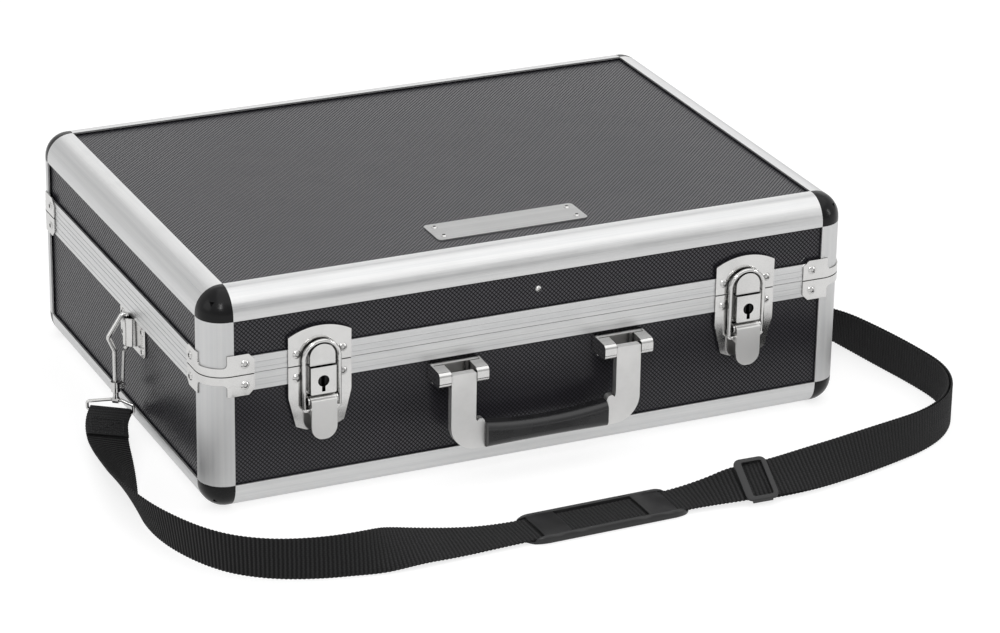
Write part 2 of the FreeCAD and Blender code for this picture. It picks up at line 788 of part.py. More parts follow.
def corner_plates(half, level):
    """Make the stamped plates that wrap the rim's corners, with a notch for the post."""
    start = LID_PLATE_FOOT if level > 0 else BASE_PLATE_TOP
    end = start + level * s.corner_plate_height
    notch = start + level * s.corner_plate_strip
    low, high = sorted((start, end))
    band = ring(-s.corner_plate_thickness, 0, low, high)
    band = band.common(corner_blocks(s.corner_plate_reach, low, high))
    band = band.cut(Part.makeCompound([post_notch(sx, sy, level, notch) for sx, sy in CORNERS]))
    chamfer = s.corner_plate_chamfer
    ears = []
    for sx, sy in CORNERS:
        ear = [(0, 0, 0), (sx * chamfer, 0, 0), (0, -level * chamfer, 0)]
        front_corner = Vector(sx * (HALF_W - s.corner_plate_reach), 0, end)
        ears.append(prism(ear, front_corner, RIGHT, UP, REAR * sy * (HALF_D + COVER)))
        ear = [(0, 0, 0), (sy * chamfer, 0, 0), (0, -level * chamfer, 0)]
        side_corner = Vector(0, sy * (HALF_D - s.corner_plate_reach), end)
        ears.append(prism(ear, side_corner, REAR, UP, RIGHT * sx * (HALF_W + COVER)))
    band = band.cut(Part.makeCompound(ears))
    keep_riveted(f"{half}_corner_plates", band, lid_holes if level > 0 else base_holes)


corner_plates("lid", 1)
corner_plates("base", -1)

# Bare plate on the lid
plate_half = s.plate_length / 2
plate_outline = [(-plate_half, 0, s.plate_corner), (plate_half, 0, s.plate_corner),
                 (plate_half, s.plate_width, s.plate_corner), (-plate_half, s.plate_width, s.plate_corner)]
plate_foot = Vector(0, -HALF_D + s.plate_front, TOTAL - PANEL_FACE)
bare_plate = prism(plate_outline, plate_foot, RIGHT, REAR, UP * s.plate_thickness)
keep_riveted("lid_plate", bare_plate, lid_holes)

# Latches
LOCK_TOP = BASE_PLATE_TOP
LOCK_Z = BASE_PLATE_TOP - s.keyhole_drop
PIVOT_Z = PARTING - s.pivot_drop
BAIL_Z = PIVOT_Z - s.bail_drop


def latch_catch(x):
    """Make the lid's half of a latch: a crowned plate with the boss that the bail holds."""
    half = s.latch_width / 2
    foot = LID_PLATE_FOOT
    shoulder = foot + s.catch_height
    crown = foot + s.catch_height + s.catch_crown
    back = -REAR * s.latch_sheet
    edges = [
        Part.LineSegment(on_front(x - half, 0, foot), on_front(x + half, 0, foot)),
        Part.LineSegment(on_front(x + half, 0, foot), on_front(x + half, 0, shoulder)),
        Part.Arc(on_front(x + half, 0, shoulder), on_front(x, 0, crown), on_front(x - half, 0, shoulder)),
        Part.LineSegment(on_front(x - half, 0, shoulder), on_front(x - half, 0, foot)),
    ]
    plate = Part.Face(Part.Wire([edge.toShape() for edge in edges])).extrude(back)
    half_boss = s.boss_width / 2
    top_radius = half_boss - LEAST
    boss = [(-half_boss, 0, 0), (half_boss, 0, 0),
            (half_boss, s.boss_height, top_radius), (-half_boss, s.boss_height, top_radius)]
    depth = s.latch_sheet + s.boss_rise
    return plate.fuse(prism(boss, on_front(x, 0, foot), RIGHT, UP, -REAR * depth)).removeSplitter()


def latch_plate(x):
    """Make the base's half of a latch: plate, hollow lock box and the two pivot cheeks."""
    half = s.latch_width / 2
    foot_half = s.latch_foot_width / 2
    foot_flat = foot_half - s.latch_foot_taper
    foot_side = s.latch_foot_rise - s.latch_drop
    outline = [(-half, 0, 0),
               (-half, -s.latch_shoulder, s.latch_corner),
               (-foot_half, foot_side, s.latch_foot_round),
               (-foot_flat, -s.latch_drop, s.latch_foot_round),
               (foot_flat, -s.latch_drop, s.latch_foot_round),
               (foot_half, foot_side, s.latch_foot_round),
               (half, -s.latch_shoulder, s.latch_corner),
               (half, 0, 0)]
    origin = on_front(x, 0, LOCK_TOP)
    shape = prism(outline, origin, RIGHT, UP, -REAR * s.latch_sheet)
    half_lock = s.lock_width / 2
    lock_front = s.latch_sheet + s.lock_rise
    box = [(-half_lock, -s.lock_height, s.lock_round), (half_lock, -s.lock_height, s.lock_round),
           (half_lock, 0, 0), (-half_lock, 0, 0)]
    shape = shape.fuse(prism(box, origin, RIGHT, UP, -REAR * lock_front))
    wall = s.lock_wall
    hollow_low = (x - half_lock + wall, -HALF_D - lock_front + wall, LOCK_TOP - s.lock_height + wall)
    hollow_high = (x + half_lock - wall, -HALF_D - s.latch_sheet, LOCK_TOP - wall)
    shape = shape.cut(block(hollow_low, hollow_high))
    front = on_front(x, lock_front + PAST, LOCK_Z)
    shape = shape.cut(Part.makeCylinder(s.keyhole_radius, wall + 2 * PAST, front, REAR))
    half_slot = s.key_slot_width / 2
    slot = [(-half_slot, -s.key_slot_drop, 0), (half_slot, -s.key_slot_drop, 0),
            (half_slot, 0, 0), (-half_slot, 0, 0)]
    shape = shape.cut(prism(slot, front, RIGHT, UP, REAR * (wall + 2 * PAST)))
    inner = s.lever_width / 2 + s.side_clearance
    cheek_half = s.pin_radius + s.cheek_wall
    reach = s.pivot_stand - s.latch_sheet + s.cheek_root + cheek_half
    cheek = [(0, -cheek_half, 0), (reach, -cheek_half, cheek_half - LEAST),
             (reach, cheek_half, cheek_half - LEAST), (0, cheek_half, 0)]
    for side in (-1, 1):
        start = on_front(x + side * inner, s.latch_sheet - s.cheek_root, PIVOT_Z)
        shape = shape.fuse(prism(cheek, start, -REAR, UP, RIGHT * side * s.cheek_thickness))
    return shape.cut(latch_pin(x)).removeSplitter()


def latch_pin(x):
    """Make the lever's pivot pin, held in the two cheeks."""
    end = s.lever_width / 2 + s.side_clearance + s.cheek_thickness
    first = on_front(x - end, s.pivot_stand, PIVOT_Z)
    return cylinder(s.pin_radius, first, on_front(x + end, s.pivot_stand, PIVOT_Z))


def latch_lever(x):
    """Make the thumb lever: a knuckle on the pin, a lug for the bail and a rounded flap."""
    half = s.lever_width / 2
    pin_stand = s.pivot_stand
    along = RIGHT * s.lever_width
    start = on_front(x - half, 0, 0)
    knuckle_start = on_front(x - half, pin_stand, PIVOT_Z)
    knuckle = Part.makeCylinder(s.knuckle_radius, s.lever_width, knuckle_start, RIGHT)
    face = pin_stand + s.lever_front
    back = face - s.lever_sheet
    tip = PIVOT_Z - s.lever_length
    lug_half = s.bail_radius + s.lever_lug_wall
    lug_round = s.lever_lug_round
    lug = [(s.bail_stand - lug_half, BAIL_Z - lug_half, lug_round),
           (face, BAIL_Z - lug_half, 0),
           (face, PIVOT_Z + lug_round, lug_round),
           (pin_stand, PIVOT_Z + s.knuckle_radius, 0),
           (pin_stand - s.knuckle_radius, PIVOT_Z, 0)]
    flap = [(back, tip, s.lever_edge_round), (face, tip, s.lever_edge_round),
            (face, PIVOT_Z, 0), (back, PIVOT_Z, 0)]
    shape = knuckle.fuse(prism(lug, start, -REAR, UP, along)).fuse(prism(flap, start, -REAR, UP, along))
    tip_round = half - LEAST
    above = PIVOT_Z + COVER
    outline = [(-half, tip, tip_round), (half, tip, tip_round), (half, above, 0), (-half, above, 0)]
    shape = shape.common(prism(outline, on_front(x, 0, 0), RIGHT, UP, -REAR * COVER))
    bore = s.lever_width + 2 * PAST
    pin_start = on_front(x - half - PAST, pin_stand, PIVOT_Z)
    shape = shape.cut(Part.makeCylinder(s.pin_radius + s.pin_clearance, bore, pin_start, RIGHT))
    bail_start = on_front(x - half - PAST, s.bail_stand, BAIL_Z)
    shape = shape.cut(Part.makeCylinder(s.bail_radius + s.pin_clearance, bore, bail_start, RIGHT))
    return shape.removeSplitter()


def latch_bail(x):
    """Make the wire bail: two legs, a round arch and ends bent into the lever."""
    half = s.bail_spread / 2
    top = PARTING + s.bail_top
    end = s.lever_width / 2 - s.bail_end_gap
    arch = half - LEAST
    stand = s.bail_stand
    corners = [
        (on_front(x - end, stand, BAIL_Z), 0),
        (on_front(x - half, stand, BAIL_Z), s.bail_bend),
        (on_front(x - half, stand, top), arch),
        (on_front(x + half, stand, top), arch),
        (on_front(x + half, stand, BAIL_Z), s.bail_bend),
        (on_front(x + end, stand, BAIL_Z), 0),
    ]
    path = Part.Wire(rounded_edges(corners, False))
    circle = Part.Circle(corners[0][0], RIGHT, s.bail_radius)
    return path.makePipeShell([Part.Wire(circle.toShape())], True, False)


def lock_core(x):
    """Make the turning core behind the keyhole, with its key slot."""
    gap = s.side_clearance
    depth = s.lock_rise - s.lock_wall - 2 * gap
    start = on_front(x, s.latch_sheet + gap, LOCK_Z)
    core = Part.makeCylinder(s.core_radius, depth, start, -REAR)
    half_slot = s.key_slot_width / 2
    reach = s.core_slot_reach
    slot = [(-half_slot, -reach, 0), (half_slot, -reach, 0), (half_slot, reach, 0), (-half_slot, reach, 0)]
    front = on_front(x, s.latch_sheet + gap + PAST, LOCK_Z)
    return core.cut(prism(slot, front, RIGHT, UP, -REAR * depth))


for name, side in SIDES:
    x = side * LATCH_X
    keep_riveted(f"{name}_latch_catch", latch_catch(x), lid_holes)
    keep_riveted(f"{name}_latch_plate", latch_plate(x), base_holes)
    keep_shape(f"{name}_latch_lever", latch_lever(x))
    keep_shape(f"{name}_latch_bail", latch_bail(x))
    keep_shape(f"{name}_lock_core", lock_core(x))
latch_pins = [latch_pin(side * LATCH_X) for name, side in SIDES]
keep_shape("latch_pins", Part.makeCompound(latch_pins))

# Handle
HANDLE_TOP = PARTING - s.handle_bracket_top
HANDLE_PIN_Z = HANDLE_TOP - s.handle_pin_drop
GRIP_Z = HANDLE_PIN_Z - s.arm_length + s.foot_height / 2


def handle_bracket(x):
    """Make a handle bracket: a back block on the panel with two lugs for the pin."""
    half = s.handle_bracket_width / 2
    inner = s.arm_width / 2 + s.side_clearance
    foot = HANDLE_TOP - s.handle_bracket_height
    corner = s.handle_bracket_round
    back = [(-half, foot, corner), (half, foot, corner),
            (half, HANDLE_TOP, corner), (-half, HANDLE_TOP, corner)]
    depth = s.handle_bracket_back + PANEL_FACE
    shape = prism(back, on_front(x, -PANEL_FACE, 0), RIGHT, UP, -REAR * depth)
    for side in (-1, 1):
        lug_foot = foot + s.handle_lug_rise
        lug = [(0, lug_foot, 0), (s.handle_lug_reach, lug_foot, s.handle_lug_round),
               (s.handle_lug_reach, HANDLE_TOP - s.handle_lug_slope, s.handle_lug_round), (0, HANDLE_TOP, 0)]
        start = on_front(x + side * inner, 0, 0)
        shape = shape.fuse(prism(lug, start, -REAR, UP, RIGHT * side * (half - inner)))
    return shape.cut(handle_pin(x)).removeSplitter()


def handle_pin(x):
    """Make the pin that an arm turns on."""
    end = s.handle_bracket_width / 2 - s.handle_pin_inset
    start = on_front(x - end, s.handle_pin_stand, HANDLE_PIN_Z)
    return cylinder(s.handle_pin_radius, start, on_front(x + end, s.handle_pin_stand, HANDLE_PIN_Z))


def handle_arm(side):
    """Make a flat arm that hangs from its pin and turns in to hold the grip."""
    centre = side * s.handle_spacing / 2
    outer = centre + side * s.arm_width / 2
    inner = centre - side * s.arm_width / 2
    grip_end = side * s.grip_length / 2
    top = HANDLE_PIN_Z + s.arm_top
    foot = HANDLE_PIN_Z - s.arm_length
    step = foot + s.foot_height
    outline = [(outer, top, s.arm_corner), (inner, top, s.arm_corner), (inner, step, s.arm_step_round),
               (grip_end, step, s.arm_corner), (grip_end, foot, 0), (outer, foot, s.arm_bend_radius)]
    back = s.handle_pin_stand - s.arm_thickness / 2
    start = on_front(s.handle_shift, back, 0)
    shape = prism(outline, start, RIGHT, UP, -REAR * s.arm_thickness)
    boss_point = on_front(s.handle_shift + grip_end + side * s.arm_boss_inset, back, step)
    shape = shape.fuse(Part.makeCylinder(s.arm_boss_radius, s.arm_thickness, boss_point, -REAR))
    hole = s.handle_pin_radius + s.pin_clearance
    pin_x = s.handle_shift + centre
    bore = cylinder(hole, on_front(pin_x - s.arm_width, s.handle_pin_stand, HANDLE_PIN_Z),
                    on_front(pin_x + s.arm_width, s.handle_pin_stand, HANDLE_PIN_Z))
    return shape.cut(bore).removeSplitter()


def handle_grip():
    """Make the moulded grip, a little slimmer in the middle than at its ends."""
    sections = []
    for share in (-1.0, -0.55, 0.0, 0.55, 1.0):
        slim = 1 - share * share
        half_depth = s.grip_depth / 2 - s.grip_side_waist * slim
        low = GRIP_Z - s.foot_height / 2 + s.grip_foot_waist * slim
        high = GRIP_Z + s.foot_height / 2 - s.grip_waist * slim
        radius = s.grip_round
        outline = [(-half_depth, low, radius), (half_depth, low, radius),
                   (half_depth, high, radius), (-half_depth, high, radius)]
        origin = on_front(s.handle_shift + share * s.grip_length / 2, s.handle_pin_stand, 0)
        corners = [(origin - REAR * a + UP * b, r) for a, b, r in outline]
        sections.append(Part.Wire(rounded_edges(corners, True)))
    return Part.makeLoft(sections, True, False)


brackets = [handle_bracket(s.handle_shift + side * s.handle_spacing / 2) for name, side in SIDES]
keep_shape("handle_brackets", Part.makeCompound(brackets))
pins = [handle_pin(s.handle_shift + side * s.handle_spacing / 2) for name, side in SIDES]
keep_shape("handle_pins", Part.makeCompound(pins))
for name, side in SIDES:
    keep_shape(f"{name}_handle_arm", handle_arm(side))
keep_shape("handle_grip", handle_grip())

# Rear hinges
HINGE_Y = HALF_D + s.hinge_stand


def hinge_leaf(x, level):
    """Make one leaf of a hinge; the lid has the middle knuckle and the base the outer two."""
    half = s.hinge_width / 2
    middle = s.hinge_width / 6
    gap = s.side_clearance / 2
    start = LID_PLATE_FOOT if level > 0 else BASE_PLATE_TOP
    clear = s.hinge_knuckle_radius + s.side_clearance
    low = level * (start - PARTING)
    outline = [(-half, low, 0), (half, low, 0),
               (half, s.hinge_leaf_height, s.hinge_corner), (-half, s.hinge_leaf_height, s.hinge_corner)]
    origin = Vector(x, HALF_D, PARTING)
    leaf = prism(outline, origin, RIGHT, UP * level, REAR * s.hinge_sheet)
    own = [(-middle + gap, middle - gap)]
    other = [(-half - PAST, -middle + gap), (middle - gap, half + PAST)]
    if level < 0:
        own = [(-half, -middle - gap), (middle + gap, half)]
        other = [(-middle - gap, middle + gap)]
    for first, last in other:
        notch = [(first, -clear, 0), (last, -clear, 0), (last, clear, 0), (first, clear, 0)]
        leaf = leaf.cut(prism(notch, origin - REAR * PAST, RIGHT, UP, REAR * COVER))
    for first, last in own:
        start_point = Vector(x + first, HINGE_Y, PARTING)
        leaf = leaf.fuse(Part.makeCylinder(s.hinge_knuckle_radius, last - first, start_point, RIGHT))
    bore = s.hinge_pin_radius + (s.pin_clearance if level > 0 else 0)
    bore_start = Vector(x - half - PAST, HINGE_Y, PARTING)
    leaf = leaf.cut(Part.makeCylinder(bore, s.hinge_width + 2 * PAST, bore_start, RIGHT))
    return leaf.removeSplitter()


def hinge_pin(x):
    """Make the pin that runs through the knuckles of one hinge."""
    start = Vector(x - s.hinge_width / 2, HINGE_Y, PARTING)
    return Part.makeCylinder(s.hinge_pin_radius, s.hinge_width, start, RIGHT)


hinge_places = [side * HINGE_X for name, side in SIDES]
lid_leaves = Part.makeCompound([hinge_leaf(x, 1) for x in hinge_places])
base_leaves = Part.makeCompound([hinge_leaf(x, -1) for x in hinge_places])
keep_riveted("lid_hinge_leaves", lid_leaves, lid_holes)
keep_riveted("base_hinge_leaves", base_leaves, base_holes)
keep_shape("hinge_pins", Part.makeCompound([hinge_pin(x) for x in hinge_places]))

# Strap brackets and snap hooks; the left-hand shapes are mirrored for the right side
STRAP_Y = -s.strap_bracket_shift
TUNNEL_X = -STRAP_FACE


def strap_bracket():
    """Make the left strap bracket: a plate on the panel with a half-round tunnel."""
    half = s.strap_bracket_length / 2
    low_round = s.strap_bracket_foot_round
    top_round = s.strap_bracket_top_round
    outline = [(-half, STRAP_FOOT, low_round), (half, STRAP_FOOT, low_round),
               (half, STRAP_TOP, top_round), (-half, STRAP_TOP, top_round)]
    origin = Vector(TUNNEL_X, STRAP_Y, 0)
    plate = prism(outline, origin, REAR, UP, RIGHT * s.strap_bracket_sheet)
    foot = Vector(TUNNEL_X, STRAP_Y, STRAP_TOP - s.tunnel_height)
    tube = Part.makeCylinder(s.tunnel_radius, s.tunnel_height, foot, UP)
    bore = Part.makeCylinder(s.tunnel_radius - s.tunnel_wall, s.tunnel_height, foot, UP)
    behind = block((TUNNEL_X, STRAP_Y - COVER, 0), (TUNNEL_X + COVER, STRAP_Y + COVER, TOTAL))
    return plate.fuse(tube.cut(bore).cut(behind)).removeSplitter()


# The hook's top bend sits astride the tunnel's wall
BEND = s.hook_wire_radius + s.tunnel_wall / 2 + s.hook_gap
HOOK_X = TUNNEL_X - s.tunnel_radius + s.tunnel_wall / 2 + BEND
SHANK_X = HOOK_X - s.hook_shank_shift
TIP_Z = STRAP_TOP - s.hook_tip_drop
BARREL_TOP = STRAP_TOP - s.hook_length
LOOP_Z = BARREL_TOP - s.hook_loop_drop
BAR = Vector(math.cos(math.radians(s.loop_turn)), -math.sin(math.radians(s.loop_turn)), 0)
LEAVE = Vector(BAR.y, -BAR.x, 0)
EYE_POINT = Vector(SHANK_X, STRAP_Y, LOOP_Z + s.loop_rise)
BAR_POINT = Vector(SHANK_X, STRAP_Y, LOOP_Z - s.loop_rise) - BAR * s.loop_slide
GATE_PIVOT = Vector(SHANK_X + s.hook_barrel_radius + s.gate_eye_radius + s.side_clearance, STRAP_Y,
                    BARREL_TOP - s.gate_pivot_drop)


def snap_hook():
    """Make the left hook: a bent wire over the tunnel's wall, a barrel and a swivel eye."""
    shoulder = Vector(HOOK_X - s.hook_shoulder_reach, STRAP_Y, STRAP_TOP - s.hook_shoulder_drop)
    half_turn = math.atan2(s.hook_shoulder_reach, s.hook_shoulder_drop + s.hook_top_rise) / 2
    top = STRAP_TOP + BEND / math.tan(half_turn)
    wire = rod([(HOOK_X - s.hook_wire_radius, STRAP_Y, TIP_Z), (HOOK_X, STRAP_Y, TIP_Z + s.hook_tip_rise),
                (HOOK_X, STRAP_Y, top), tuple(shoulder),
                (SHANK_X, STRAP_Y, TIP_Z), (SHANK_X, STRAP_Y, BARREL_TOP - s.hook_wire_radius)],
               s.hook_wire_radius, BEND)
    barrel_foot = Vector(SHANK_X, STRAP_Y, BARREL_TOP - s.hook_barrel_length)
    barrel = cylinder(s.hook_barrel_radius, (SHANK_X, STRAP_Y, BARREL_TOP), barrel_foot)
    post = cylinder(s.hook_post_radius, barrel_foot, EYE_POINT)
    eye_half = BAR * (s.hook_eye_width / 2)
    eye = cylinder(s.loop_wire_radius + s.hook_eye_wall, EYE_POINT - eye_half, EYE_POINT + eye_half)
    shape = wire.fuse([barrel, post, eye])
    shape = shape.cut(cylinder(s.loop_wire_radius, EYE_POINT - eye_half * 2, EYE_POINT + eye_half * 2))
    ear_half = s.gate_eye_width / 2 + s.side_clearance
    ear_end = GATE_PIVOT.x + s.gate_ear_radius
    ear_low = GATE_PIVOT.z - s.gate_ear_radius
    ear_high = GATE_PIVOT.z + s.gate_ear_radius
    ear_round = s.gate_ear_radius - LEAST
    ear = [(SHANK_X, ear_low, 0), (ear_end, ear_low, ear_round),
           (ear_end, ear_high, ear_round), (SHANK_X, ear_high, 0)]
    for side in (-1, 1):
        start = Vector(0, STRAP_Y + side * ear_half, 0)
        shape = shape.fuse(prism(ear, start, RIGHT, UP, REAR * side * s.gate_ear_thickness))
    pin_half = REAR * (ear_half + s.gate_ear_thickness)
    pin = cylinder(s.gate_pin_radius, GATE_PIVOT - pin_half, GATE_PIVOT + pin_half)
    return shape.fuse(pin).removeSplitter()


def hook_gate():
    """Make the sprung gate bar that closes the left hook."""
    half = REAR * (s.gate_eye_width / 2)
    tip = Vector(HOOK_X - s.hook_wire_radius - s.gate_radius, STRAP_Y, TIP_Z - s.gate_tip_gap)
    bar = cylinder(s.gate_radius, GATE_PIVOT, tip)
    shape = bar.fuse(cylinder(s.gate_eye_radius, GATE_PIVOT - half, GATE_PIVOT + half))
    bore = cylinder(s.gate_pin_radius + s.pin_clearance, GATE_PIVOT - half * 2, GATE_PIVOT + half * 2)
    return shape.cut(bore).removeSplitter()


def strap_loop():
    """Make the left wire loop that the strap is sewn to, its top sloping away from the eye."""
    half = s.strap_width / 2 + s.loop_bend + s.loop_clearance
    rise = UP * s.loop_rise
    centre = BAR_POINT + rise
    shoulder = rise - UP * s.loop_shoulder_drop
    eye = s.hook_eye_width / 2 + s.loop_bend
    corners = [(BAR * s.loop_slide + rise, 0), (BAR * (s.loop_slide + eye) + rise, s.loop_bend),
               (BAR * half + shoulder, s.loop_bend), (BAR * half - rise, s.loop_bend),
               (BAR * -half - rise, s.loop_bend), (BAR * -half + shoulder, s.loop_bend),
               (BAR * (s.loop_slide - eye) + rise, s.loop_bend)]
    path = Part.Wire(rounded_edges([(centre + point, radius) for point, radius in corners], True))
    circle = Part.Circle(EYE_POINT, BAR, s.loop_wire_radius)
    return path.makePipeShell([Part.Wire(circle.toShape())], True, False)


bracket = strap_bracket()
hook = snap_hook()
gate = hook_gate()
loop = strap_loop()
for name, side in SIDES:
    for label, shape in (("hook", hook), ("hook_gate", gate), ("strap_loop", loop)):
        keep_shape(f"{name}_{label}", shape if side < 0 else mirrored(shape))
    keep_riveted(f"{name}_strap_bracket", bracket if side < 0 else mirrored(bracket), base_holes)

# Shoulder strap: points of its middle line and the lean of its width from upright, in degrees
WRAP_IN = s.loop_wire_radius + s.wrap_clearance
WRAP = WRAP_IN + s.strap_thickness / 2
EDGE_Z = s.strap_width / 2 + s.strap_floor_gap
LEFT_END = BAR_POINT - UP * WRAP
LEFT_OUT = LEFT_END + LEAVE * s.strap_left_lead
RIGHT_END = Vector(-BAR_POINT.x, BAR_POINT.y, BAR_POINT.z + WRAP)
RIGHT_OUT = RIGHT_END + Vector(-LEAVE.x, LEAVE.y, 0) * s.strap_right_lead
TO_PAD = [
    (LEFT_END.x, LEFT_END.y, LEFT_END.z, -90),
    (LEFT_OUT.x, LEFT_OUT.y, LEFT_OUT.z, -84),
    (-HALF_W - 26.8, -47.0, 9.7, -80),
    (-HALF_W - 30.6, -68.0, 8.2, -70),
    (-HALF_W - 36.8, -98.0, 9.9, -54),
    (-HALF_W - 43.5, -128.0, 12.6, -38),
    (-HALF_W - 46.5, -159.0, 14.3, -19),
    (-HALF_W - 41.0, -198.0, EDGE_Z, -10),
    (-HALF_W - 23.5, -238.5, EDGE_Z, -6),
    (-229.0, -261.0, EDGE_Z, -3),
    (-198.0, -273.0, EDGE_Z, 2),
    (-166.0, -278.0, EDGE_Z + 0.4, 12),
    (-137.0, -272.0, 10.9, 58),
    (-106.0, -269.0, 6.0, 74),
    (-78.0, -267.4, 3.6, 86),
    (-46.0, -266.4, 2.9, 90),
]
TO_SLIDER = [
    (48.0, -264.6, 2.9, 90),
    (76.0, -266.2, 5.4, 82),
    (96.5, -270.4, 10.2, 63),
]
TO_RIGHT = [
    (121.5, -273.6, 11.6, 61),
    (154.0, -273.0, 13.4, 42),
    (186.0, -269.0, EDGE_Z, 26),
    (217.0, -262.8, EDGE_Z + 0.5, 12),
    (HALF_W + 16.0, -254.8, EDGE_Z + 0.2, 3),
    (HALF_W + 41.0, -240.0, EDGE_Z, 0),
    (HALF_W + 59.0, -217.5, EDGE_Z, 0),
    (HALF_W + 67.5, -190.0, EDGE_Z, 0),
    (HALF_W + 64.5, -157.0, EDGE_Z, 0),
    (HALF_W + 58.0, -120.0, EDGE_Z, 0),
    (HALF_W + 50.0, -83.0, EDGE_Z + 0.5, 8),
    (HALF_W + 38.0, -55.0, 15.2, 34),
    (RIGHT_OUT.x, RIGHT_OUT.y, RIGHT_OUT.z, 72),
    (RIGHT_END.x, RIGHT_END.y, RIGHT_END.z, 90),
]
ROUTE = TO_PAD + TO_SLIDER + TO_RIGHT
ARC_STEPS = 4


def stations_of(route):
    """Walk straight runs and tangent arcs; give points, directions, leans and the arcs' radii."""
    points = [Vector(x, y, z) for x, y, z, lean in route]
    leans = [lean for x, y, z, lean in route]
    walk = [(points[0], (points[1] - points[0]).normalize())]
    turns = [leans[0]]
    radii = []
    for index in range(1, len(points) - 1):
        back = points[index - 1] - points[index]
        ahead = points[index + 1] - points[index]
        reach = 0.45 * min(back.Length, ahead.Length)
        radii.append(reach / math.tan((math.pi - back.getAngle(ahead)) / 2))
        first = points[index] + back.normalize() * reach
        last = points[index] + ahead.normalize() * reach
        for step in range(ARC_STEPS + 1):
            share = step / ARC_STEPS
            near = first + (points[index] - first) * share
            far = points[index] + (last - points[index]) * share
            walk.append((near + (far - near) * share, (far - near).normalize()))
            turns.append(leans[index])
    walk.append((points[-1], (points[-1] - points[-2]).normalize()))
    turns.append(leans[-1])
    for sweep in range(ARC_STEPS):
        inner = [(turns[i - 1] + 2 * turns[i] + turns[i + 1]) / 4 for i in range(1, len(turns) - 1)]
        turns = [turns[0]] + inner + [turns[-1]]
    return [(point, direction, lean) for (point, direction), lean in zip(walk, turns)], radii


def band_axes(direction, lean):
    """Give the width and the outer face's direction of the band at one station."""
    side = UP.cross(direction).normalize()
    upright = direction.cross(side).normalize()
    angle = math.radians(lean)
    width = upright * math.cos(angle) + side * math.sin(angle)
    return width, direction.cross(width).normalize()


def layer_shift(layer, distance):
    """Give how far a layer lies from the first one, opening out at the loop's bar."""
    ease = max(0.0, 1 - distance / s.strap_spread)
    return layer + (math.copysign(2 * WRAP, layer) - layer) * ease * ease


def band(stations, layer=0.0, loop_last=False):
    """Loft one layer of webbing through its stations."""
    loop_point = stations[-1][0] if loop_last else stations[0][0]
    sections = []
    middles = []
    lowest = TOTAL
    for point, direction, lean in stations:
        width, face = band_axes(direction, lean)
        half = width * (s.strap_width / 2)
        thick = face * (s.strap_thickness / 2)
        middle = point
        if layer:
            middle = point + face * layer_shift(layer, (point - loop_point).Length)
        corners = [middle - half - thick, middle + half - thick,
                   middle + half + thick, middle - half + thick]
        sections.append(Part.makePolygon(corners + corners[:1]))
        middles.append(middle)
        lowest = min([lowest] + [corner.z for corner in corners])
    length = sum((b - a).Length for a, b in zip(middles, middles[1:]))
    solid = Part.makeLoft(sections, True, True)
    share = solid.Volume / (length * s.strap_width * s.strap_thickness)
    print(f"band length {length:.0f} mm, volume share {share:.3f}, lowest {lowest:.2f} mm")
    return solid


def bar_wrap(side):
    """Make the half turn of webbing round the lower bar of a loop."""
    half = BAR * (s.strap_width / 2)
    outer = WRAP_IN + s.strap_thickness
    tube = cylinder(outer, BAR_POINT - half, BAR_POINT + half)
    tube = tube.cut(cylinder(WRAP_IN, BAR_POINT - half, BAR_POINT + half))
    reach = s.strap_width
    behind = [(-reach, -outer, 0), (reach, -outer, 0), (reach, outer, 0), (-reach, outer, 0)]
    shape = tube.common(prism(behind, BAR_POINT, BAR, UP, LEAVE * -outer))
    return shape if side < 0 else mirrored(shape)


stations, radii = stations_of(ROUTE)
print(f"bend radii {' '.join(f'{radius:.0f}' for radius in radii)}")
first_return = 1 + (len(TO_PAD + TO_SLIDER) - 1) * (ARC_STEPS + 1)
tail_end = 2 * (ARC_STEPS + 1)
layer = s.strap_thickness + s.strap_layer_gap
tail = band(stations[:tail_end], -s.strap_thickness - s.tail_gap)
strap = band(stations).fuse([tail, bar_wrap(-1), bar_wrap(1)])
keep_shape("strap", strap)
keep_shape("strap_return", band(stations[first_return:], -layer, True))


def shoulder_pad():
    """Make the moulded tray that the strap runs through, with two bridges over it."""
    half = s.pad_length / 2
    half_width = s.pad_width / 2
    end_round = s.pad_end_round
    outline = [(-half, -half_width, end_round), (half, -half_width, end_round),
               (half, half_width, end_round), (-half, half_width, end_round)]
    shape = prism(outline, Vector(0, 0, 0), RIGHT, REAR, UP * s.pad_height)
    half_channel = s.strap_width / 2 + s.pad_clearance
    channel_low = (-half - PAST, -half_channel, s.pad_floor)
    shape = shape.cut(block(channel_low, (half + PAST, half_channel, s.pad_height + PAST)))
    bridge_low = s.pad_floor + s.strap_thickness + s.pad_bridge_gap
    bridge_half = half_width - s.pad_bridge_inset
    for side in (-1, 1):
        ends = sorted((side * s.pad_bridge_start, side * (s.pad_bridge_start + s.pad_bridge)))
        bridge = block((ends[0], -bridge_half, bridge_low), (ends[1], bridge_half, s.pad_height))
        shape = shape.fuse(bridge)
    return shape.removeSplitter()


pad_start = Vector(*TO_PAD[-1][:3])
pad_run = Vector(*TO_SLIDER[0][:3]) - pad_start
pad_middle = pad_start + pad_run * 0.5
pad_turn = FreeCAD.Rotation(RIGHT, pad_run)
pad_place = FreeCAD.Placement(Vector(pad_middle.x, pad_middle.y, 0), pad_turn)
keep_shape("shoulder_pad", shoulder_pad(), pad_place)


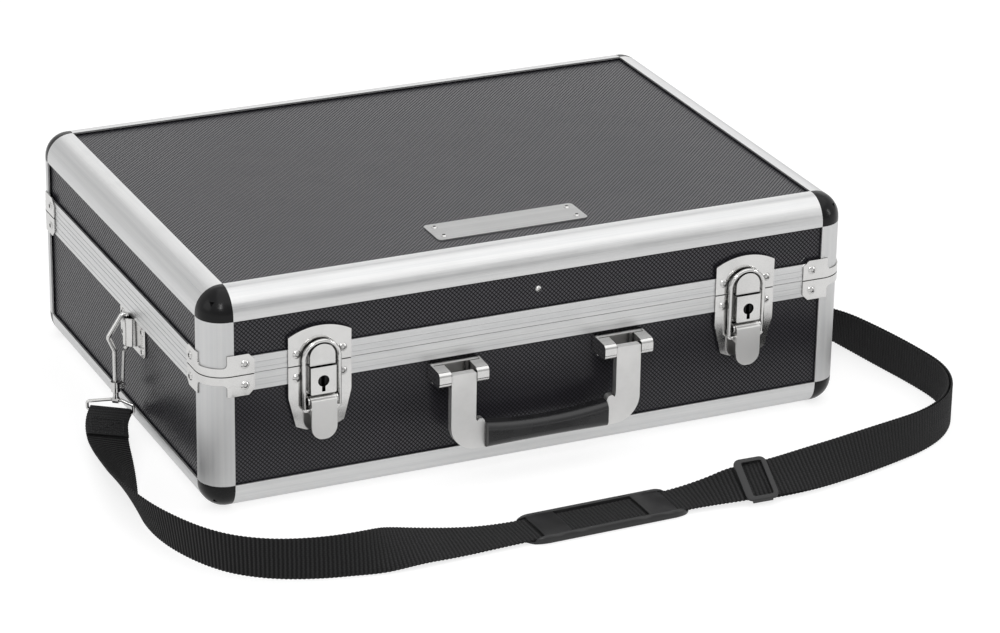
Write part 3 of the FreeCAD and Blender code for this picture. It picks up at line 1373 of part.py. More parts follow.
def slider():
    """Make the ladder slider: a frame over the strap, and a bar behind it for the sewn end."""
    start = Vector(*TO_SLIDER[-1][:3])
    end = Vector(*TO_RIGHT[0][:3])
    direction = (end - start).normalize()
    width, face = band_axes(direction, (TO_SLIDER[-1][3] + TO_RIGHT[0][3]) / 2)
    half_length = s.slider_length / 2
    half_width = s.strap_width / 2 + s.slider_clearance
    span = half_width + s.slider_rail
    level = s.strap_thickness / 2 + s.slider_clearance
    origin = (start + end) * 0.5
    round_corner = s.slider_rail
    frame = [(-half_length, -span, round_corner), (half_length, -span, round_corner),
             (half_length, span, round_corner), (-half_length, span, round_corner)]
    depth = face * (2 * level + s.slider_thickness)
    shape = prism(frame, origin - face * level, direction, width, depth)
    window = half_length - s.slider_bar
    inside = [(-window, -half_width, 0), (window, -half_width, 0),
              (window, half_width, 0), (-window, half_width, 0)]
    shape = shape.cut(prism(inside, origin - face * level, direction, width, depth))
    under = [(-half_length, -half_width, 0), (half_length, -half_width, 0),
             (half_length, half_width, 0), (-half_length, half_width, 0)]
    shape = shape.cut(prism(under, origin - face * level, direction, width, face * (2 * level)))
    edge = (stations[first_return][0] - origin).dot(direction)
    bar = [(edge - s.slider_bar, -span, 0), (edge, -span, 0), (edge, span, 0), (edge - s.slider_bar, span, 0)]
    back_bar = prism(bar, origin - face * level, direction, width, face * -s.slider_thickness)
    return shape.fuse(back_bar).removeSplitter()


keep_shape("strap_slider", slider())

# The handle reaches further out than the hinges, so the case moves back to stand over the origin
FRONT_REACH = s.handle_pin_stand + s.grip_depth / 2
REAR_REACH = s.hinge_stand + s.hinge_knuckle_radius
centring = FreeCAD.Placement(REAR * ((FRONT_REACH - REAR_REACH) / 2), FreeCAD.Rotation())
doc.recompute()
for item in nodes:
    item.Placement = centring.multiply(item.Placement)

# Checks and output
doc.recompute()
faults = []
for item in doc.Objects:
    if "Invalid" in item.State or "Error" in item.State:
        faults.append(f"{item.Label}: {item.State}")
for item in nodes:
    if item.Shape.isNull() or not item.Shape.isValid():
        faults.append(f"{item.Label}: shape")
if faults:
    raise RuntimeError("; ".join(faults))
os.makedirs("parts", exist_ok=True)
for item in nodes:
    item.Shape.exportStep(os.path.join("parts", item.Label + ".step"))
    print(f"{item.Label}: {len(item.Shape.Solids)} solids, {item.Shape.Volume:.0f} mm3")
print(f"{len(nodes)} sub-parts")
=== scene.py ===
"""Looks of a laminate-panelled case in an aluminium frame, with its handle and shoulder strap.

Lengths are in metres, turns and leans in degrees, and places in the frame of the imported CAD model.
"""
import json
import logging
import math
from dataclasses import dataclass, field, replace
from enum import Enum
from functools import cache
from typing import Any, Callable, Iterable, Optional, Sequence, Union

import bpy
from mathutils import Matrix, Vector

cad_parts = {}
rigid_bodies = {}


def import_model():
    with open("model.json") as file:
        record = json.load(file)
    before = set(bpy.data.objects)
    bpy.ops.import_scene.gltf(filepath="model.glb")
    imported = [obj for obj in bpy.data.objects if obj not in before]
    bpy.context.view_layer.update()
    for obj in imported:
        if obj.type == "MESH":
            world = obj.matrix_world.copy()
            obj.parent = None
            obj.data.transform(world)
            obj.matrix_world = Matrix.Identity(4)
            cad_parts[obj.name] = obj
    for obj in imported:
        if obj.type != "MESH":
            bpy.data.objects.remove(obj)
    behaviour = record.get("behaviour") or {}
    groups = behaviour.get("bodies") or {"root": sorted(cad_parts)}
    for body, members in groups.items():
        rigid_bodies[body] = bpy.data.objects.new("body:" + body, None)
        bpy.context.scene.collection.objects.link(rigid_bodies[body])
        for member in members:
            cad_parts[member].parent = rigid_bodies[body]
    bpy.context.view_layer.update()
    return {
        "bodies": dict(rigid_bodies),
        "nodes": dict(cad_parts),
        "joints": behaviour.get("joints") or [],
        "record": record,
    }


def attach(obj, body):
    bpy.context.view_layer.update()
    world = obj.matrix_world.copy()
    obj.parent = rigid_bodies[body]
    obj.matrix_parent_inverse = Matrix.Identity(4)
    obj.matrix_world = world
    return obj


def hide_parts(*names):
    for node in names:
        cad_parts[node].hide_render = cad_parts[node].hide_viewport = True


LOG = logging.getLogger("case")
Colour = tuple[float, float, float]
Range = tuple[float, float]
Spot = tuple[float, float]
Place = tuple[float, float, float]
Socket = bpy.types.NodeSocket
Input = Union[float, Sequence[float], Socket]
Build = Callable[[Any], dict[str, Socket]]
Rings = Sequence[Sequence[Vector]]
Skin = tuple[list[Vector], list[tuple[int, ...]]]
UP = Vector((0.0, 0.0, 1.0))
HALVES = ("lid", "base")
SIDES = ("left", "right")


class Axis(Enum):
    """Direction in which a metal section was drawn, or a sheet was brushed."""

    X = 0
    Y = 1
    Z = 2


class Plane(Enum):
    """The two axes that lie in a flat panel."""

    XY = (0, 1)
    XZ = (0, 2)
    YZ = (1, 2)


class Graph:
    """Adds and joins the nodes of one shader tree."""

    def __init__(self, tree: bpy.types.NodeTree) -> None:
        """Keep the tree that the nodes go into."""
        self.tree = tree

    @classmethod
    def of(cls, owner: Union[bpy.types.Material, bpy.types.World]) -> "Graph":
        """Empty the nodes of a material or a world.

        Args:
            owner: The material or world.

        Returns:
            The graph to fill.
        """
        owner.use_nodes = True
        owner.node_tree.nodes.clear()
        return cls(owner.node_tree)

    def node(self, kind: str, inputs: Optional[dict[Any, Input]] = None, **settings: Any) -> bpy.types.Node:
        """Add one node.

        Args:
            kind: The node's Blender type.
            inputs: Values or sockets by input name or number.
            settings: Properties of the node itself.

        Returns:
            The new node.
        """
        item = self.tree.nodes.new(kind)
        for name, value in settings.items():
            setattr(item, name, value)
        for name, value in (inputs or {}).items():
            socket = item.inputs[name]
            if isinstance(value, Socket):
                self.tree.links.new(value, socket)
            elif socket.type == "RGBA":
                socket.default_value = (*value, 1.0)
            else:
                socket.default_value = value
        return item

    def math(self, operation: str, first: Input, second: Input = 0.0) -> Socket:
        """Return the result of one sum on two values."""
        return self.node("ShaderNodeMath", {0: first, 1: second}, operation=operation).outputs[0]

    def times(self, first: Input, second: Input) -> Socket:
        """Return the product of two values."""
        return self.math("MULTIPLY", first, second)

    def plus_share(self, base: Input, mark: Input, share: float) -> Socket:
        """Return a value with a share of a mark added to it."""
        return self.math("ADD", base, self.times(mark, share))

    def span(self, value: Input, source: Range, target: Range = (0.0, 1.0)) -> Socket:
        """Return a value stretched from the range that it is expected in to another."""
        inputs = {0: value, 1: source[0], 2: source[1], 3: target[0], 4: target[1]}
        return self.node("ShaderNodeMapRange", inputs).outputs[0]

    def between(self, share: Input, ends: Range) -> Socket:
        """Return the value at a share of the way from one end to the other."""
        return self.span(share, (0.0, 1.0), ends)

    def blend(self, share: Input, first: Input, second: Input) -> Socket:
        """Return a mix of two colours, of which the share is the second one's."""
        return self.node("ShaderNodeMix", {0: share, 6: first, 7: second}, data_type="RGBA").outputs[2]

    def noise(self, place: Input, scale: Input, detail: float = 2.0, roughness: float = 0.5) -> Socket:
        """Return a soft random value between 0 and 1 that changes over space."""
        inputs = {"Vector": place, "Scale": scale, "Detail": detail, "Roughness": roughness}
        return self.node("ShaderNodeTexNoise", inputs).outputs[0]

    def parts(self, vector: Input) -> Any:
        """Return the three parts of a vector."""
        return self.node("ShaderNodeSeparateXYZ", {0: vector}).outputs

    def place(self) -> Socket:
        """Return the place on the object, in metres."""
        return self.node("ShaderNodeTexCoord").outputs["Object"]

    def bump(self, height: Input, depth: float) -> Socket:
        """Return a normal that a height map has roughened to a depth in metres."""
        return self.node("ShaderNodeBump", {"Height": height, "Distance": depth}).outputs[0]

    def group(self, effect: Build, inputs: dict[str, Input]) -> Any:
        """Place the node group of an effect with its own values and return its outputs."""
        return self.node("ShaderNodeGroup", inputs, node_tree=Effect.made(effect, tuple(inputs))).outputs


class Effect(Graph):
    """The graph of a node group. Each method after the first builds one surface effect."""

    VECTORS = ("Place", "Stretch", "Course")
    given: Any = None

    @classmethod
    @cache
    def made(cls, build: Build, inputs: tuple[str, ...]) -> bpy.types.NodeTree:
        """Make the node group of an effect, once for all its uses.

        Args:
            build: The effect's method, which returns the group's outputs.
            inputs: Names of the group's inputs.

        Returns:
            The group's tree.
        """
        effect = cls(bpy.data.node_groups.new(build.__name__, "ShaderNodeTree"))
        sockets = effect.tree.interface
        for name in inputs:
            kind = "NodeSocketVector" if name in cls.VECTORS else "NodeSocketFloat"
            sockets.new_socket(name, in_out="INPUT", socket_type=kind)
        effect.given = effect.node("NodeGroupInput").outputs
        outputs = build(effect)
        for name in outputs:
            sockets.new_socket(name, in_out="OUTPUT", socket_type="NodeSocketFloat")
        effect.node("NodeGroupOutput", outputs)
        return effect.tree

    def diamond_emboss(self) -> dict[str, Socket]:
        """Return the fine crossed emboss of the laminate: raised diamonds between narrow grooves."""
        crown = 0.6
        groove_walls = (0.22, 0.60)
        ridges = []
        for way in ("ADD", "SUBTRACT"):
            slant = self.math(way, self.given["Along"], self.given["Across"])
            turns = self.times(self.math("DIVIDE", slant, self.given["Pitch"]), math.pi / math.sqrt(2))
            ridges.append(self.math("ABSOLUTE", self.math("SINE", turns)))
        lowest = self.math("MINIMUM", *ridges)
        return {"Height": self.math("POWER", lowest, crown),
                "Groove": self.span(lowest, groove_walls, (1.0, 0.0))}

    def drawn_lines(self) -> dict[str, Socket]:
        """Return the fine lengthwise lines that a die leaves on drawn metal."""
        line_scale, band_scale = 2600.0, 420.0
        stretched = {0: self.given["Place"], 1: self.given["Stretch"]}
        run = self.node("ShaderNodeVectorMath", stretched, operation="MULTIPLY").outputs[0]
        return {"Line": self.span(self.noise(run, line_scale, roughness=0.6), (0.3, 0.7)),
                "Band": self.span(self.noise(run, band_scale), (0.32, 0.68))}

    def handling_marks(self) -> dict[str, Socket]:
        """Return what handling leaves: soft smudges and a few fine hairline scratches."""
        smudge_scale = 45.0
        scratch_turn = (0.5, 0.9, 0.6)
        scratch_scale = (40.0, 2600.0, 2600.0)
        slant = {"Vector": self.given["Place"], "Rotation": scratch_turn, "Scale": scratch_scale}
        slanted = self.node("ShaderNodeMapping", slant).outputs[0]
        smudge = self.noise(self.given["Place"], smudge_scale, 4.0, 0.6)
        return {"Smudge": self.span(smudge, (0.42, 0.72)),
                "Scratch": self.span(self.noise(slanted, 1.0, 1.0), (0.68, 0.74))}

    def crevice_shade(self) -> dict[str, Socket]:
        """Return a painted shade mask, read from ambient occlusion: a dark line where one piece sits on
        another.
        """
        near = self.node("ShaderNodeAmbientOcclusion", {"Distance": self.given["Reach"]}, samples=6)
        return {"Open": self.span(near.outputs["AO"], (0.45, 0.92))}

    def moulded_grain(self) -> dict[str, Socket]:
        """Return the fine pebbled grain of moulded plastic and rubber."""
        cloud_scale = 60.0
        return {"Height": self.noise(self.given["Place"], self.math("DIVIDE", 1.0, self.given["Grain"]), 3.0),
                "Cloud": self.span(self.noise(self.given["Place"], cloud_scale, 4.0), (0.35, 0.7))}

    def ribbed_weave(self) -> dict[str, Socket]:
        """Return a webbing weave: ribs across the band, each broken into short raised threads."""
        thread_stagger, thread_crown = 0.05, 0.25
        fibre_scale, fibre_height = 5200.0, 0.25
        course = self.parts(self.given["Course"])
        ribs = self.math("DIVIDE", course[0], self.given["Rib"])
        threads = self.math("DIVIDE", course[1], self.given["Thread"])
        stagger = self.times(self.math("MODULO", self.math("FLOOR", threads), 2.0), thread_stagger)
        wave = self.math("SINE", self.times(self.math("ADD", ribs, stagger), 2 * math.pi))
        strand = self.math("ABSOLUTE", self.math("SINE", self.times(threads, math.pi)))
        rise = self.times(self.span(wave, (-1.0, 1.0)), self.math("POWER", strand, thread_crown))
        fibre = self.noise(self.given["Course"], fibre_scale)
        return {"Height": self.plus_share(rise, fibre, fibre_height),
                # Shade is painted light and shade: crests light and hollows dark, with random fibre tone.
                "Shade": self.times(rise, self.span(fibre, (0.2, 0.8), (0.6, 1.2)))}


@dataclass(frozen=True)
class Finish:
    """A surface finish that pieces share."""

    name: str
    slot: str

    def paint(self, graph: Graph) -> dict[str, Input]:
        """Add the nodes that the finish needs besides its shader.

        Args:
            graph: The graph of the finish's material.

        Returns:
            What goes into the shader, by input name.
        """
        raise NotImplementedError

    @staticmethod
    def dim(colour: Colour, share: float) -> Colour:
        """Return a darker shade of a colour."""
        return tuple(share * part for part in colour)

    def material(self) -> bpy.types.Material:
        """Return the finish's material, made on first use."""
        found = bpy.data.materials.get(self.name)
        if found:
            return found
        made = bpy.data.materials.new(self.name)
        graph = Graph.of(made)
        shader = graph.node("ShaderNodeBsdfPrincipled", self.paint(graph))
        graph.node("ShaderNodeOutputMaterial", {"Surface": shader.outputs[0]})
        return made


@dataclass(frozen=True)
class Laminate(Finish):
    """Dark laminate sheet with a fine diamond emboss."""

    plane: Plane = Plane.XY
    pitch: float = 0.0021
    # Colour of the emboss grooves, darkened as painted shade.
    dark: Colour = (0.009, 0.009, 0.010)
    light: Colour = (0.033, 0.032, 0.038)
    worn: Colour = (0.042, 0.041, 0.047)
    wear: float = 0.35
    gloss: Range = (0.38, 0.85)
    smear: float = 0.06
    coat_gloss: float = 0.25
    coat_index: float = 1.6
    coat_tint: Colour = (0.97, 0.96, 1.0)
    shine: float = 0.05
    depth: float = 0.00030

    def paint(self, graph: Graph) -> dict[str, Input]:
        """Turn the emboss into colour, gloss, coat and bump.

        Args:
            graph: The graph of the finish's material.

        Returns:
            What goes into the shader, by input name.
        """
        place = graph.place()
        parts = graph.parts(place)
        along, across = (parts[axis] for axis in self.plane.value)
        emboss = graph.group(Effect.diamond_emboss, {"Along": along, "Across": across, "Pitch": self.pitch})
        marks = graph.group(Effect.handling_marks, {"Place": place})
        raised = graph.blend(graph.times(marks["Smudge"], self.wear), self.light, self.worn)
        sheen = graph.between(emboss["Groove"], self.gloss)
        # The dark colour in the grooves is painted shade; the grooves are also rougher and uncoated.
        return {"Base Color": graph.blend(emboss["Groove"], raised, self.dark),
                "Roughness": graph.plus_share(sheen, marks["Smudge"], self.smear),
                "Normal": graph.bump(emboss["Height"], self.depth),
                "Coat Weight": graph.math("SUBTRACT", 1.0, emboss["Groove"]),
                "Coat Roughness": self.coat_gloss, "Coat IOR": self.coat_index, "Coat Tint": self.coat_tint,
                "Specular IOR Level": self.shine}


@dataclass(frozen=True)
class DrawnAluminium(Finish):
    """Satin anodised aluminium, drawn or brushed along one axis."""

    axis: Axis = Axis.X
    dark: Colour = (0.66, 0.665, 0.67)
    light: Colour = (0.80, 0.80, 0.795)
    gloss: float = 0.27
    gloss_spread: float = 0.12
    smear: float = 0.08
    stretch: float = 0.006
    line_share: float = 0.45
    lines: float = 0.00002
    # Reach and brightness of the painted shade where other pieces are near.
    crevice: float = 0.0006
    painted_shade_dim: float = 0.8

    def paint(self, graph: Graph) -> dict[str, Input]:
        """Turn the drawing lines into colour, gloss and bump.

        Args:
            graph: The graph of the finish's material.

        Returns:
            What goes into the shader, by input name.
        """
        place = graph.place()
        stretch = [self.stretch if axis is self.axis else 1.0 for axis in Axis]
        drawn = graph.group(Effect.drawn_lines, {"Place": place, "Stretch": stretch})
        marks = graph.group(Effect.handling_marks, {"Place": place})
        gap = graph.group(Effect.crevice_shade, {"Reach": self.crevice})
        lines = graph.times(drawn["Line"], self.line_share)
        shade = graph.plus_share(lines, drawn["Band"], 1.0 - self.line_share)
        clean = graph.blend(shade, self.dark, self.light)
        satin = graph.between(shade, (self.gloss, self.gloss + self.gloss_spread))
        # The colour is dimmed toward painted shade where the occlusion mask finds other pieces near.
        return {"Base Color": graph.blend(gap["Open"], self.dim(self.dark, self.painted_shade_dim), clean),
                "Roughness": graph.plus_share(satin, marks["Smudge"], self.smear),
                "Normal": graph.bump(drawn["Line"], self.lines), "Metallic": 1.0}


@dataclass(frozen=True)
class PlatedSteel(Finish):
    """Bright plated steel with smudges and hairline scratches."""

    colour: Colour = (0.76, 0.755, 0.745)
    gloss: float = 0.13
    wave: float = 0.00003
    # Reach of the painted shade where other pieces are near.
    crevice: float = 0.0022
    wave_scale: float = 190.0
    gloss_spread: float = 0.09
    scratches: float = 0.1
    smudges: float = 0.6
    dull: float = 0.86
    # Brightness of that painted shade, as a share of the colour.
    painted_shade_dim: float = 0.15

    def paint(self, graph: Graph) -> dict[str, Input]:
        """Turn the marks of handling into colour, gloss and bump.

        Args:
            graph: The graph of the finish's material.

        Returns:
            What goes into the shader, by input name.
        """
        place = graph.place()
        marks = graph.group(Effect.handling_marks, {"Place": place})
        gap = graph.group(Effect.crevice_shade, {"Reach": self.crevice})
        smudge = graph.times(marks["Smudge"], self.smudges)
        clean = graph.blend(smudge, self.colour, self.dim(self.colour, self.dull))
        bright = graph.between(marks["Smudge"], (self.gloss, self.gloss + self.gloss_spread))
        # The colour is dimmed toward painted shade where the occlusion mask finds other pieces near.
        return {"Base Color": graph.blend(gap["Open"], self.dim(self.colour, self.painted_shade_dim), clean),
                "Roughness": graph.plus_share(bright, marks["Scratch"], self.scratches),
                "Normal": graph.bump(graph.noise(place, self.wave_scale), self.wave), "Metallic": 1.0}


@dataclass(frozen=True)
class Moulding(Finish):
    """Moulded plastic or rubber with a fine grain."""

    colour: Colour = (0.012, 0.012, 0.013)
    pale: Colour = (0.022, 0.022, 0.023)
    gloss: float = 0.24
    grain: float = 0.0006
    depth: float = 0.00002
    shine: float = 0.5
    lacquer: float = 0.0
    clouds: float = 0.7
    gloss_spread: float = 0.10
    scratches: float = 0.12

    def paint(self, graph: Graph) -> dict[str, Input]:
        """Turn the grain into colour, gloss and bump.

        Args:
            graph: The graph of the finish's material.

        Returns:
            What goes into the shader, by input name.
        """
        place = graph.place()
        grain = graph.group(Effect.moulded_grain, {"Place": place, "Grain": self.grain})
        marks = graph.group(Effect.handling_marks, {"Place": place})
        sheen = graph.between(grain["Cloud"], (self.gloss, self.gloss + self.gloss_spread))
        return {"Base Color": graph.blend(graph.times(grain["Cloud"], self.clouds), self.colour, self.pale),
                "Roughness": graph.plus_share(sheen, marks["Scratch"], self.scratches),
                "Normal": graph.bump(grain["Height"], self.depth), "Specular IOR Level": self.shine,
                "Coat Weight": self.lacquer, "Coat Roughness": self.gloss}


@dataclass(frozen=True)
class Felt(Finish):
    """Short dark felt on the inside walls."""

    dark: Colour = (0.012, 0.012, 0.013)
    light: Colour = (0.040, 0.040, 0.042)
    fibre: float = 0.0009
    depth: float = 0.0004
    fuzz: float = 0.25

    def paint(self, graph: Graph) -> dict[str, Input]:
        """Turn the fibres into colour, gloss and bump.

        Args:
            graph: The graph of the finish's material.

        Returns:
            What goes into the shader, by input name.
        """
        nap = graph.group(Effect.moulded_grain, {"Place": graph.place(), "Grain": self.fibre})
        shade = graph.times(graph.span(nap["Height"], (0.3, 0.7)), graph.between(nap["Cloud"], (0.55, 1.0)))
        return {"Base Color": graph.blend(shade, self.dark, self.light),
                "Roughness": graph.span(nap["Height"], (0.2, 0.8), (0.85, 1.0)),
                "Normal": graph.bump(nap["Height"], self.depth), "Sheen Weight": self.fuzz}


@dataclass(frozen=True)
class Webbing(Finish):
    """Black woven webbing, read along and across the band."""

    dark: Colour = (0.0006, 0.0006, 0.0007)
    light: Colour = (0.024, 0.024, 0.025)
    rib: float = 0.0028
    thread: float = 0.0014
    gloss: Range = (0.85, 0.62)
    depth: float = 0.0005
    fuzz: float = 0.03
    shine: float = 0.3

    def paint(self, graph: Graph) -> dict[str, Input]:
        """Turn the weave into colour, gloss and bump.

        Args:
            graph: The graph of the finish's material.

        Returns:
            What goes into the shader, by input name.
        """
        course = graph.node("ShaderNodeAttribute", attribute_name="course").outputs["Vector"]
        weave = graph.group(Effect.ribbed_weave, {"Course": course, "Rib": self.rib, "Thread": self.thread})
        # The colour follows the weave's painted light and shade: raised threads lighter and the hollows
        # between ribs darker.
        return {"Base Color": graph.blend(weave["Shade"], self.dark, self.light),
                "Roughness": graph.between(weave["Height"], self.gloss),
                "Normal": graph.bump(weave["Height"], self.depth),
                "Sheen Weight": self.fuzz, "Specular IOR Level": self.shine}


class Finishes:
    """The finishes of this case."""

    TOP_PANEL = Laminate("laminate_flat", "panel_laminate", Plane.XY)
    FRONT_PANEL = Laminate("laminate_front", "panel_laminate", Plane.XZ)
    SIDE_PANEL = Laminate("laminate_side", "panel_laminate", Plane.YZ)
    LONG_METAL = DrawnAluminium("aluminium_long", "anodised_aluminium", Axis.X)
    SHORT_METAL = DrawnAluminium("aluminium_short", "anodised_aluminium", Axis.Y)
    POST_METAL = DrawnAluminium("aluminium_post", "anodised_aluminium", Axis.Z, (0.68, 0.685, 0.69),
                                (0.76, 0.76, 0.755), 0.46)
    CAP = Moulding("corner_black", "corner_plastic", (0.004, 0.004, 0.0045), (0.008, 0.008, 0.0085), 0.20,
                   depth=0.00001, shine=0.25)
    BRIGHT = PlatedSteel("bright_nickel", "bright_plate")
    LEVER = PlatedSteel("lever_satin", "bright_plate", gloss=0.36, wave=0.000004)
    RIVET = PlatedSteel("rivet_nickel", "rivet_steel", gloss=0.18, crevice=0.005)
    FELT = Felt("lining_grey", "lining_felt")
    BARE_PLATE = DrawnAluminium("plate_brushed", "plate_metal", Axis.X, (0.46, 0.46, 0.46),
                                (0.58, 0.58, 0.575), 0.42)
    HANDLE = PlatedSteel("handle_satin", "handle_metal", (0.86, 0.855, 0.845), 0.42, 0.000004)
    GRIP = Moulding("grip_black", "grip_plastic", gloss=0.24, grain=0.0005, lacquer=0.25)
    PIN = PlatedSteel("pin_plain", "pin_steel", (0.62, 0.61, 0.60), 0.24)
    LOCK = PlatedSteel("lock_dark", "pin_steel", (0.03, 0.03, 0.03), 0.5)
    WEBBING = Webbing("strap_black", "webbing")
    THREAD = Moulding("thread_black", "webbing", (0.014, 0.014, 0.0145), (0.030, 0.030, 0.031), 0.55, 0.0003)
    RUBBER = Moulding("pad_grey", "pad_rubber", (0.015, 0.015, 0.0155), (0.026, 0.026, 0.027), 0.34, 0.0004)
    SLIDER = Moulding("slider_grey", "slider_plastic", (0.017, 0.017, 0.0175), (0.028, 0.028, 0.029), 0.36,
                      0.0004)


def placed(name: str, data: bpy.types.ID) -> bpy.types.Object:
    """Add an object to the scene.

    Args:
        name: The object's name.
        data: The mesh, lamp or camera that it holds.

    Returns:
        The new object.
    """
    item = bpy.data.objects.new(name, data)
    bpy.context.scene.collection.objects.link(item)
    return item


@dataclass(frozen=True)
class Lamp:
    """One soft rectangular lamp: where it hangs, the point that it faces, its size and its watts."""

    name: str
    place: Place
    target: Place
    size: tuple[float, float]
    power: float

    def hang(self) -> None:
        """Add the lamp to the scene."""
        data = bpy.data.lights.new(self.name, "AREA")
        data.shape = "RECTANGLE"
        data.size, data.size_y = self.size
        data.energy = self.power
        holder = placed(self.name, data)
        holder.location = self.place
        holder.rotation_euler = (Vector(self.target) - Vector(self.place)).to_track_quat("-Z", "Y").to_euler()


@dataclass
class Studio:
    """The camera, the pale floor and the soft lights."""

    eye: Place = (-1.00743, -2.27475, 1.10830)
    azimuth: float = -24.8532
    elevation: float = 23.2246
    roll: float = 0.9375
    lens: float = 140.70
    sensor: float = 36.0
    view_end: float = 100.0
    floor_half: float = 9.0
    floor_drop: float = 0.0004
    floor_colour: Colour = (0.34, 0.34, 0.34)
    floor_to_eye: float = 0.76
    floor_to_metal: float = 0.52
    sky: float = 0.85
    front_sky: float = 0.6
    sky_lean: float = 0.6
    sky_fade: Range = (-0.35, 0.35)
    lamps: tuple[Lamp, ...] = (
        Lamp("overhead_softbox", (0.5, -0.5, 2.0), (0.3, -0.4, 0.1), (3.0, 2.6), 15.0),
        Lamp("rear_softbox", (0.9, 2.0, 1.1), (0.1, 0.0, 0.15), (2.8, 1.3), 5.0),
        Lamp("left_softbox", (-2.1, -0.1, 1.1), (0.0, 0.0, 0.08), (1.4, 1.2), 4.0),
        Lamp("front_lamp", (-1.0, -2.1, 1.7), (0.0, 0.0, 0.08), (0.40, 1.0), 13.0),
        Lamp("right_lamp", (2.2, -1.6, 0.9), (0.0, 0.0, 0.08), (0.25, 0.9), 6.0))

    def build(self) -> None:
        """Set up the whole studio."""
        self.camera()
        self.floor()
        self.world()
        for lamp in self.lamps:
            lamp.hang()
        bpy.context.scene.view_settings.view_transform = "Standard"

    def camera(self) -> None:
        """Place the camera at the photograph's angle."""
        turn, tilt, roll = (math.radians(angle) for angle in (self.azimuth, 90 - self.elevation, self.roll))
        data = bpy.data.cameras.new("case_camera")
        data.lens = self.lens
        data.sensor_width = self.sensor
        data.sensor_fit = "HORIZONTAL"
        data.clip_end = self.view_end
        holder = placed("case_camera", data)
        holder.matrix_world = (Matrix.Translation(self.eye) @ Matrix.Rotation(turn, 4, "Z")
                               @ Matrix.Rotation(tilt, 4, "X") @ Matrix.Rotation(roll, 4, "Z"))
        bpy.context.scene.camera = holder

    def floor(self) -> None:
        """Lay a pale floor that shows white to the eye and still takes a shadow."""
        half = self.floor_half
        ends = ((-half, -half), (half, -half), (half, half), (-half, half))
        mesh = bpy.data.meshes.new("studio_floor")
        mesh.from_pydata([(x, y, -self.floor_drop) for x, y in ends], [], [(0, 1, 2, 3)])
        sheet = placed("studio_floor", mesh)
        paper = bpy.data.materials.new("floor_paper")
        graph = Graph.of(paper)
        matt = graph.node("ShaderNodeBsdfDiffuse", {"Color": self.floor_colour})
        glow = graph.node("ShaderNodeEmission", {"Strength": self.floor_glow(graph)})
        both = graph.node("ShaderNodeAddShader", {0: matt.outputs[0], 1: glow.outputs[0]})
        graph.node("ShaderNodeOutputMaterial", {"Surface": both.outputs[0]})
        mesh.materials.append(paper)

    def floor_glow(self, graph: Graph) -> Socket:
        """Let only the eye and mirrored rays see the floor's own light.

        Args:
            graph: The graph of the floor's material.

        Returns:
            The light's strength.
        """
        rays = graph.node("ShaderNodeLightPath").outputs
        seen = graph.times(rays["Is Camera Ray"], self.floor_to_eye)
        mirrored = graph.math("MAXIMUM", rays["Is Glossy Ray"], rays["Is Transmission Ray"])
        return graph.plus_share(seen, mirrored, self.floor_to_metal)

    def world(self) -> None:
        """Light the scene from all round with plain pale light, weaker low in front."""
        world = bpy.data.worlds.new("studio_world")
        bpy.context.scene.world = world
        graph = Graph.of(world)
        toward = graph.parts(graph.node("ShaderNodeTexCoord").outputs["Generated"])
        lit = graph.plus_share(toward[2], toward[1], self.sky_lean)
        strength = graph.span(lit, self.sky_fade, (self.front_sky, self.sky))
        light = graph.node("ShaderNodeBackground", {"Strength": strength})
        graph.node("ShaderNodeOutputWorld", {"Surface": light.outputs[0]})


@dataclass
class SubAssembly:
    """Pieces of the case that belong together."""

    frame: dict

    def finishes(self) -> dict[str, Finish]:
        """Return the finish of each CAD node in the sub-assembly."""
        raise NotImplementedError

    @staticmethod
    def on_each(sides: Iterable[str], parts: dict[str, Finish]) -> dict[str, Finish]:
        """Return the finishes of parts that come once on each side."""
        return {f"{side}_{part}": finish for side in sides for part, finish in parts.items()}

    def dress(self) -> None:
        """Give every CAD node of the sub-assembly its finish."""
        for node, finish in self.finishes().items():
            item = self.frame["nodes"][node]
            if not item.material_slots:
                item.data.materials.append(finish.material())
            for place in item.material_slots:
                place.material = finish.material()
            LOG.info("%s: %s", node, finish.name)


@dataclass
class ShellFrame(SubAssembly):
    """The metal edges, corners and rims of the lid and the base."""

    def finishes(self) -> dict[str, Finish]:
        """Return the finish of each metal and corner node."""
        return self.on_each(HALVES, {
            "long_edges": Finishes.LONG_METAL, "short_edges": Finishes.SHORT_METAL,
            "corner_posts": Finishes.POST_METAL, "long_rims": Finishes.LONG_METAL,
            "short_rims": Finishes.SHORT_METAL, "corner_caps": Finishes.CAP, "rivets": Finishes.RIVET,
            "corner_plates": Finishes.BRIGHT, "hinge_leaves": Finishes.BRIGHT})


@dataclass
class Panels(SubAssembly):
    """The laminate panels, the felt inside them and the bare plate on the lid."""

    def finishes(self) -> dict[str, Finish]:
        """Return the finish of each panel, lining and plate."""
        walls = self.on_each(HALVES, {
            "front_panel": Finishes.FRONT_PANEL, "rear_panel": Finishes.FRONT_PANEL,
            "left_panel": Finishes.SIDE_PANEL, "right_panel": Finishes.SIDE_PANEL, "lining": Finishes.FELT})
        return {"lid_top_panel": Finishes.TOP_PANEL, "base_bottom_panel": Finishes.TOP_PANEL,
                "lid_plate": Finishes.BARE_PLATE, **walls}


@dataclass
class Latches(SubAssembly):
    """The two draw latches with their locks."""

    def finishes(self) -> dict[str, Finish]:
        """Return the finish of each latch node."""
        return {"latch_pins": Finishes.PIN, **self.on_each(SIDES, {
            "latch_catch": Finishes.BRIGHT, "latch_plate": Finishes.BRIGHT, "latch_bail": Finishes.BRIGHT,
            "latch_lever": Finishes.LEVER, "lock_core": Finishes.LOCK})}


